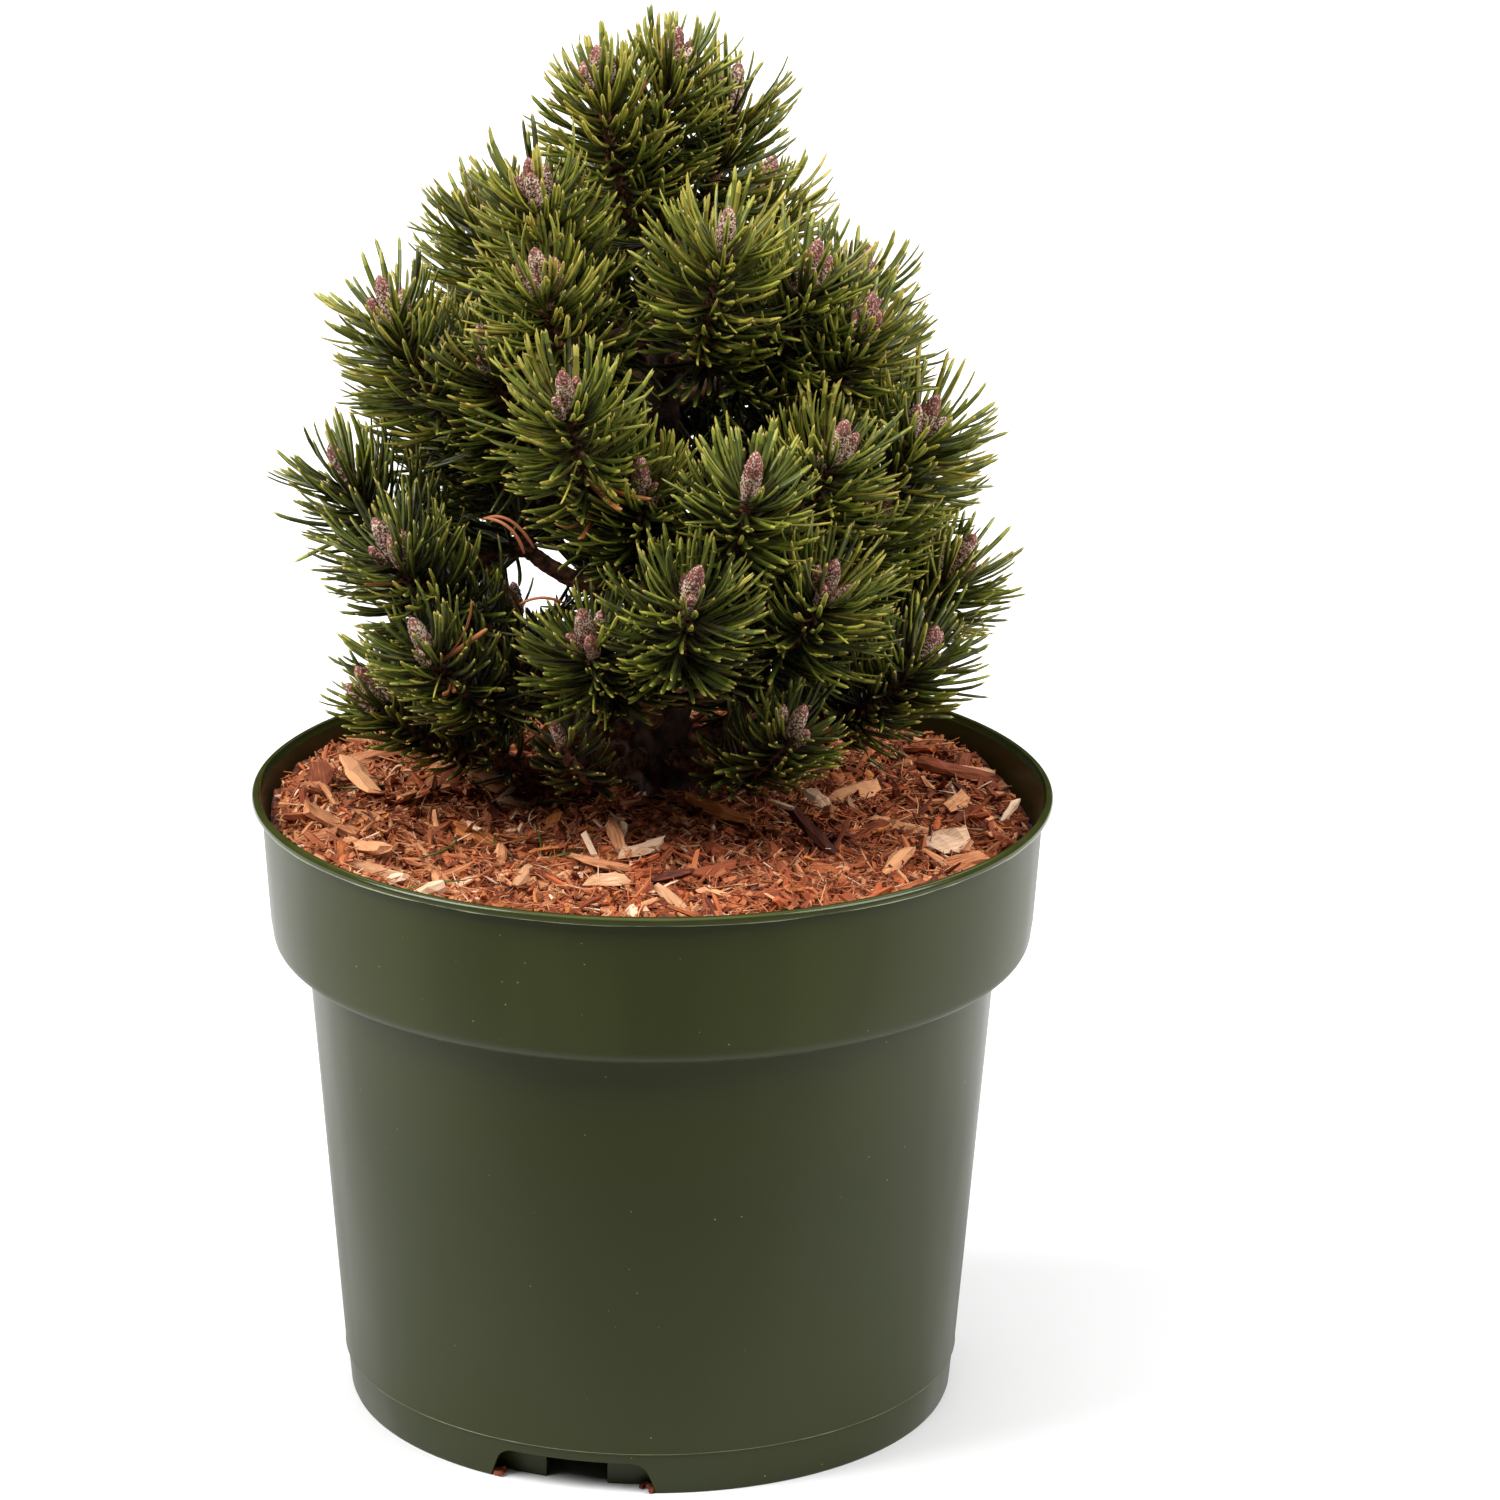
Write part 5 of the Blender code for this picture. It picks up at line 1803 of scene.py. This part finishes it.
    def needles(
        self,
        sheet: Sheet,
        path: Array,
        share: Array,
        lean: Array,
        habit: Habit,
        rng: np.random.Generator,
    ) -> None:
        """Adds pairs of needles along a path.

        A needle's section is a half moon of four corners that narrows to a blunt point. A
        needle that would cross a gap in the crown is left out, but for the few with the
        most spin.

        Args:
            sheet: Takes the needles.
            path: The shoot's middle line.
            share: Where each pair stands along it, from 0 to 1.
            lean: Each pair's angle from the shoot, in degrees.
            habit: The spray's tone, length and lift.
            rng: The plant's random numbers.
        """
        line, heading, curl = self.needle_lines(path, share, lean, habit, rng)
        count = len(line)
        wide = unit(np.cross(heading, curl))
        spin = rng.normal(0.0, 0.6, count)[:, None]
        flat = curl * np.cos(spin) + wide * np.sin(spin)
        wide = wide * np.cos(spin) - curl * np.sin(spin)
        width = self.half_width * rng.uniform(0.86, 1.14, count)
        half = width[:, None] * np.array(self.taper)
        across = np.array([-1.0, -0.5, 0.5, 1.0])
        deep = np.array([0.0, -0.8, -0.8, 0.0])
        section = wide[:, None, None] * across[:, None] + flat[:, None, None] * deep[:, None]
        body = (line[:, :-1, None] + half[..., None, None] * section).reshape(count, -1, 3)
        points = np.concatenate([body, line[:, -1:]], axis=1)
        rings, corner = len(self.stations), np.arange(4)
        last = (rings - 1) * 4
        tips = np.stack([last + (corner + 1) % 4, last + corner, np.full(4, last + 4)], -1)
        quads = np.concatenate([grid_quads(rings, 4)[:, ::-1], [[0, 1, 2, 3]]])
        colours = self.needle_colours(share, habit.tone, rng)
        clear = np.all([gap.away(line).min(axis=1) > gap.radius for gap in SKY_GAPS], axis=0)
        kept = clear | (np.abs(spin[:, 0]) > self.gap_spin)
        sheet.add_many(points[kept], [quads, tips], [numbers[kept] for numbers in colours])

    def bud(
        self, sheet: Sheet, root: Array, heading: Array, size: float, rng: np.random.Generator
    ) -> None:
        """Adds a bud: a blunt spindle clad in scales.

        Its radius is R (1 - |2v - 0.80|^3 / 1.20^3)^0.75. The scales stand out where
        the fraction of 5a / tau + 9v is small, and where that of -3a / tau + 9v is.
        """
        rows, sides = 20, 12
        v, turn = np.linspace(0.0, 1.0, rows)[:, None], turns(sides)
        spindle = np.maximum(1.0 - (np.abs(2 * v - 0.80) / 1.20) ** 3, 0.0) ** 0.75
        one = 1.0 - ((5 * turn / math.tau + 9 * v) % 1.0)
        two = 1.0 - ((-3 * turn / math.tau + 9 * v) % 1.0)
        body = v < 0.97
        scales = 1.0 + 0.17 * one * two * body + 0.05 * rng.normal(size=(rows, sides)) * body
        radii = np.maximum(self.bud_radius * size**0.7 * spindle * scales, 0.00005)
        side, _ = side_axes(heading)
        length = self.bud_length * size
        line = root - heading * length * 0.14 + heading * length * v
        line = line + side * 0.06 * rng.normal() * length * v**2
        reds = np.repeat(v[1:, 0] > rng.uniform(0.55, 0.95), sides).astype(int)
        sweep(sheet, line, radii, sides, [reds, 0, 1])

    def habit(self, shoot: Shoot, rng: np.random.Generator) -> tuple[Habit, float]:
        """How a shoot's needles grow, and how near it is to the crown's top, from 0 to 1.

        Higher shoots are fresher, and weak ones take darker tones as painted shade. Needles are
        shorter at the crown's top and foot, and held up at the foot.
        """
        # Painted shade: weak shoots, low in the crown, take darker tones.
        tone = rng.normal(self.tone, self.tone_spread) - self.painted_shade_by_vigour * (1.0 - shoot.vigour)
        fresh = np.clip((shoot.height - self.tone_height) / self.tone_reach, -1.0, 1.0)
        high = np.clip((shoot.height - self.top_from) / self.top_reach, 0.0, 1.0)
        low = np.clip((self.foot_from - shoot.height) / self.foot_reach, 0.0, 1.0)
        size = 1.0 - (1.0 - self.crown_length) * high - (1.0 - self.foot_length) * low
        size *= self.weak_size + (1.0 - self.weak_size) * shoot.vigour
        lift = self.lift + (self.foot_lift - self.lift) * low
        return Habit(tone + self.tone_by_height * fresh, size, lift), high

    def grow(
        self, names: tuple[str, str], start: Array, along: Array, shoots: tuple, kit: Kit
    ) -> None:
        """Builds one mass: the twigs, needles and buds of the shoots on one bough.

        Args:
            names: The needles' piece, and the solid that it stands for.
            start: Where the bough ends and the mass begins.
            along: The bough's direction there.
            shoots: The mass's shoots.
            kit: What the masses share.
        """
        g, rng = self.growth, kit.rng
        needles = Sheet()
        for shoot in shoots:
            path, first = self.shoot_path(start, along, shoot)
            radii = np.linspace(g.twig_radius, g.twig_radius * 0.80, len(path))
            sweep(kit.twigs, path, kit.wood.leaf_bases(path, radii), kit.wood.twig_sides)
            habit, high = self.habit(shoot, rng)
            head_pairs = round(self.head_pairs * shoot.vigour)
            u = (np.arange(head_pairs) + 0.5) / head_pairs
            share = first + (1.0 - first) * 0.97 * u**0.88
            lean_tip = self.lean_tip - self.top_closing * high
            lean = self.lean_foot + (lean_tip - self.lean_foot) * u**1.5
            self.needles(needles, path, share, lean, habit, rng)
            stem = first * run_along(path)[-1]
            pairs = int(stem / MM * self.stem_pairs_per_mm * shoot.vigour)
            share = first * (0.15 + 0.85 * (np.arange(pairs) + 0.5) / max(pairs, 1))
            lean = np.full(pairs, self.lean_foot - self.stem_closing)
            # Painted shade: needles along the stem, deep in the crown, take a darker tone.
            habit = replace(habit, tone=habit.tone - self.painted_shade_stem_tone)
            self.needles(needles, path, share, lean, habit, rng)
            self.cluster(kit.buds, path[-1], unit(path[-1] - path[-2]), shoot.vigour, rng)
        settle(needles.make(names[0], kit.needle_skins), names[1], slot="needles")

    def cluster(
        self, sheet: Sheet, tip: Array, heading: Array, vigour: float, rng: np.random.Generator
    ) -> None:
        """A shoot's winter buds: a large one in the middle and smaller ones round it."""
        side, other = side_axes(heading)
        self.bud(sheet, tip, heading, rng.uniform(0.92, 1.10) * (0.5 + 0.5 * vigour), rng)
        count = rng.choice(self.small_buds) if vigour > 0.5 else 0
        spin = rng.uniform(0, math.tau)
        for k in range(count):
            turn = spin + k * math.tau / count + rng.normal(0, 0.25)
            out = side * math.cos(turn) + other * math.sin(turn)
            leaning = unit(heading + out * rng.uniform(0.10, 0.34))
            root = tip + out * self.small_bud_offset - heading * self.small_bud_drop
            self.bud(sheet, root, leaning, rng.uniform(0.50, 0.82), rng)

    def build(
        self, wood: Wood, boughs: list[Bough], forks: dict[str, float], bark: bpy.types.Material
    ) -> None:
        """Makes every mass, then the twigs and the buds, each kind joined."""
        skins = [
            NeedleSkin(f"{name}_{zone}", code).make()
            for name, codes in NEEDLE_TONES
            for zone, code in zip(NEEDLE_ZONES, codes)
        ]
        skins += [SHEATH.make(), TIP.make(), DRY.make()]
        kit = Kit(np.random.default_rng(self.seed), wood, skins)
        g = self.growth
        top = g.trunk_axis(g.trunk_top)
        rise = unit(top - g.trunk_axis(g.trunk_top - g.top_run))
        self.grow(("spray_leader", "leading_shoots"), top, rise, LEADER, kit)
        for bough in boughs:
            path = g.bough_path(bough, forks[bough.name], g.bough_points)
            along = unit(path[-1] - path[-2])
            names = ("spray_" + bough.name, "needles_" + bough.name)
            self.grow(names, path[-1], along, bough.shoots, kit)
        caught = Sheet()
        for dry in CAUGHT_NEEDLES:
            dry.add_to(caught)
        settle(caught.make("caught_needles", [CAUGHT.make()]), slot="needles")
        settle(kit.twigs.make("twigs", [bark]), slot="bark")
        buds = kit.buds.make("winter_buds", [ResinousBud("body").make(), RED_TIP.make()])
        settle(buds, slot="needles")


# The studio


@dataclass(frozen=True)
class Lamp:
    """A far soft light: its bearing, its height and its width in degrees, and its power."""

    name: str
    bearing: float
    rise: float
    softness: float
    strength: float

    def hang(self) -> None:
        """Puts the light in the scene, facing the middle."""
        data = bpy.data.lights.new(self.name, "SUN")
        data.angle, data.energy = math.radians(self.softness), self.strength
        obj = bpy.data.objects.new(self.name, data)
        turn, up = math.radians(self.bearing), math.radians(self.rise)
        place = Vector((math.sin(turn) * math.cos(up), -math.cos(turn) * math.cos(up), math.sin(up)))
        obj.location = place * 2.0
        obj.rotation_euler = (-place).to_track_quat("-Z", "Y").to_euler()
        bpy.context.scene.collection.objects.link(obj)


LAMPS = (
    Lamp("left_light", -76.0, 44.0, 36.0, 4.8),
    Lamp("right_light", 74.0, 41.0, 40.0, 3.7),
    Lamp("top_light", -16.0, 74.0, 56.0, 1.8),
    Lamp("back_light", 178.0, 56.0, 50.0, 1.2),
)


@dataclass(frozen=True)
class Studio:
    """A white floor greyed in front by painted shade, soft lights, a sky dim in front, and the camera.
    """

    floor_size: float = 16.0
    sky_front: float = -0.9
    sky_back: float = 0.6
    sky_dim: float = 0.09
    sky_bright: float = 1.0
    target: tuple = (0.0278, 0.0, 0.193)
    distance: float = 1.9
    elevation: float = 18.0
    lens: float = 159.1
    roll: float = 0.5

    def build(self) -> None:
        """Lays the floor, hangs the lights and sets the camera."""
        self.floor()
        self.sky()
        for lamp in LAMPS:
            lamp.hang()
        bpy.context.scene.view_settings.view_transform = "Standard"
        self.camera()

    def floor(self) -> None:
        """Lays the floor."""
        bpy.ops.mesh.primitive_plane_add(size=self.floor_size)
        floor = bpy.context.object
        floor.name = "studio_floor"
        floor.data.materials.append(StudioSweep().make())

    def sky(self) -> None:
        """Lights the scene from all round, more from behind than from in front."""
        world = bpy.data.worlds.new("studio")
        bpy.context.scene.world = world
        world.use_nodes = True
        tree = world.node_tree
        way = node(tree, "ShaderNodeTexCoord").outputs["Generated"]
        parts = node(tree, "ShaderNodeSeparateXYZ", links={0: way})
        ramp = {
            "From Min": self.sky_front,
            "From Max": self.sky_back,
            "To Min": self.sky_dim,
            "To Max": self.sky_bright,
        }
        depth = node(tree, "ShaderNodeMapRange", ramp, {"Value": parts.outputs["Y"]})
        tree.links.new(depth.outputs["Result"], tree.nodes["Background"].inputs["Strength"])

    def camera(self) -> None:
        """Sets the camera at the photograph's angle."""
        up = math.radians(self.elevation)
        away = Vector((0.0, -math.cos(up), math.sin(up)))
        data = bpy.data.cameras.new("camera")
        data.sensor_width, data.lens = 36.0, self.lens
        camera = bpy.data.objects.new("camera", data)
        place = Matrix.Translation(Vector(self.target) + away * self.distance)
        facing = (-away).to_track_quat("-Z", "Y").to_matrix().to_4x4()
        camera.matrix_world = place @ facing @ Matrix.Rotation(math.radians(self.roll), 4, "Z")
        bpy.context.scene.collection.objects.link(camera)
        bpy.context.scene.camera = camera


def main() -> None:
    """Builds the object and its studio."""
    logging.basicConfig(level=logging.INFO, format="%(message)s")
    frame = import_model()
    growth = Growth()
    boughs = all_boughs()
    forks = growth.forks(boughs)
    pot = Pot()
    pot.build()
    mulch = Mulch(pot)
    mulch.build()
    soil = frame["nodes"]["potting_soil"]
    soil.data.materials.clear()
    soil.data.materials.append(PottingSoil().make())
    trunk_bark, twig_bark = TRUNK_BARK.make(), TWIG_BARK.make()
    wood = Wood(growth)
    wood.trunk(trunk_bark)
    wood.limbs(boughs, forks, twig_bark)
    Foliage(growth, mulch).build(wood, boughs, forks, twig_bark)
    Studio().build()


if __name__ == "__main__":
    main()
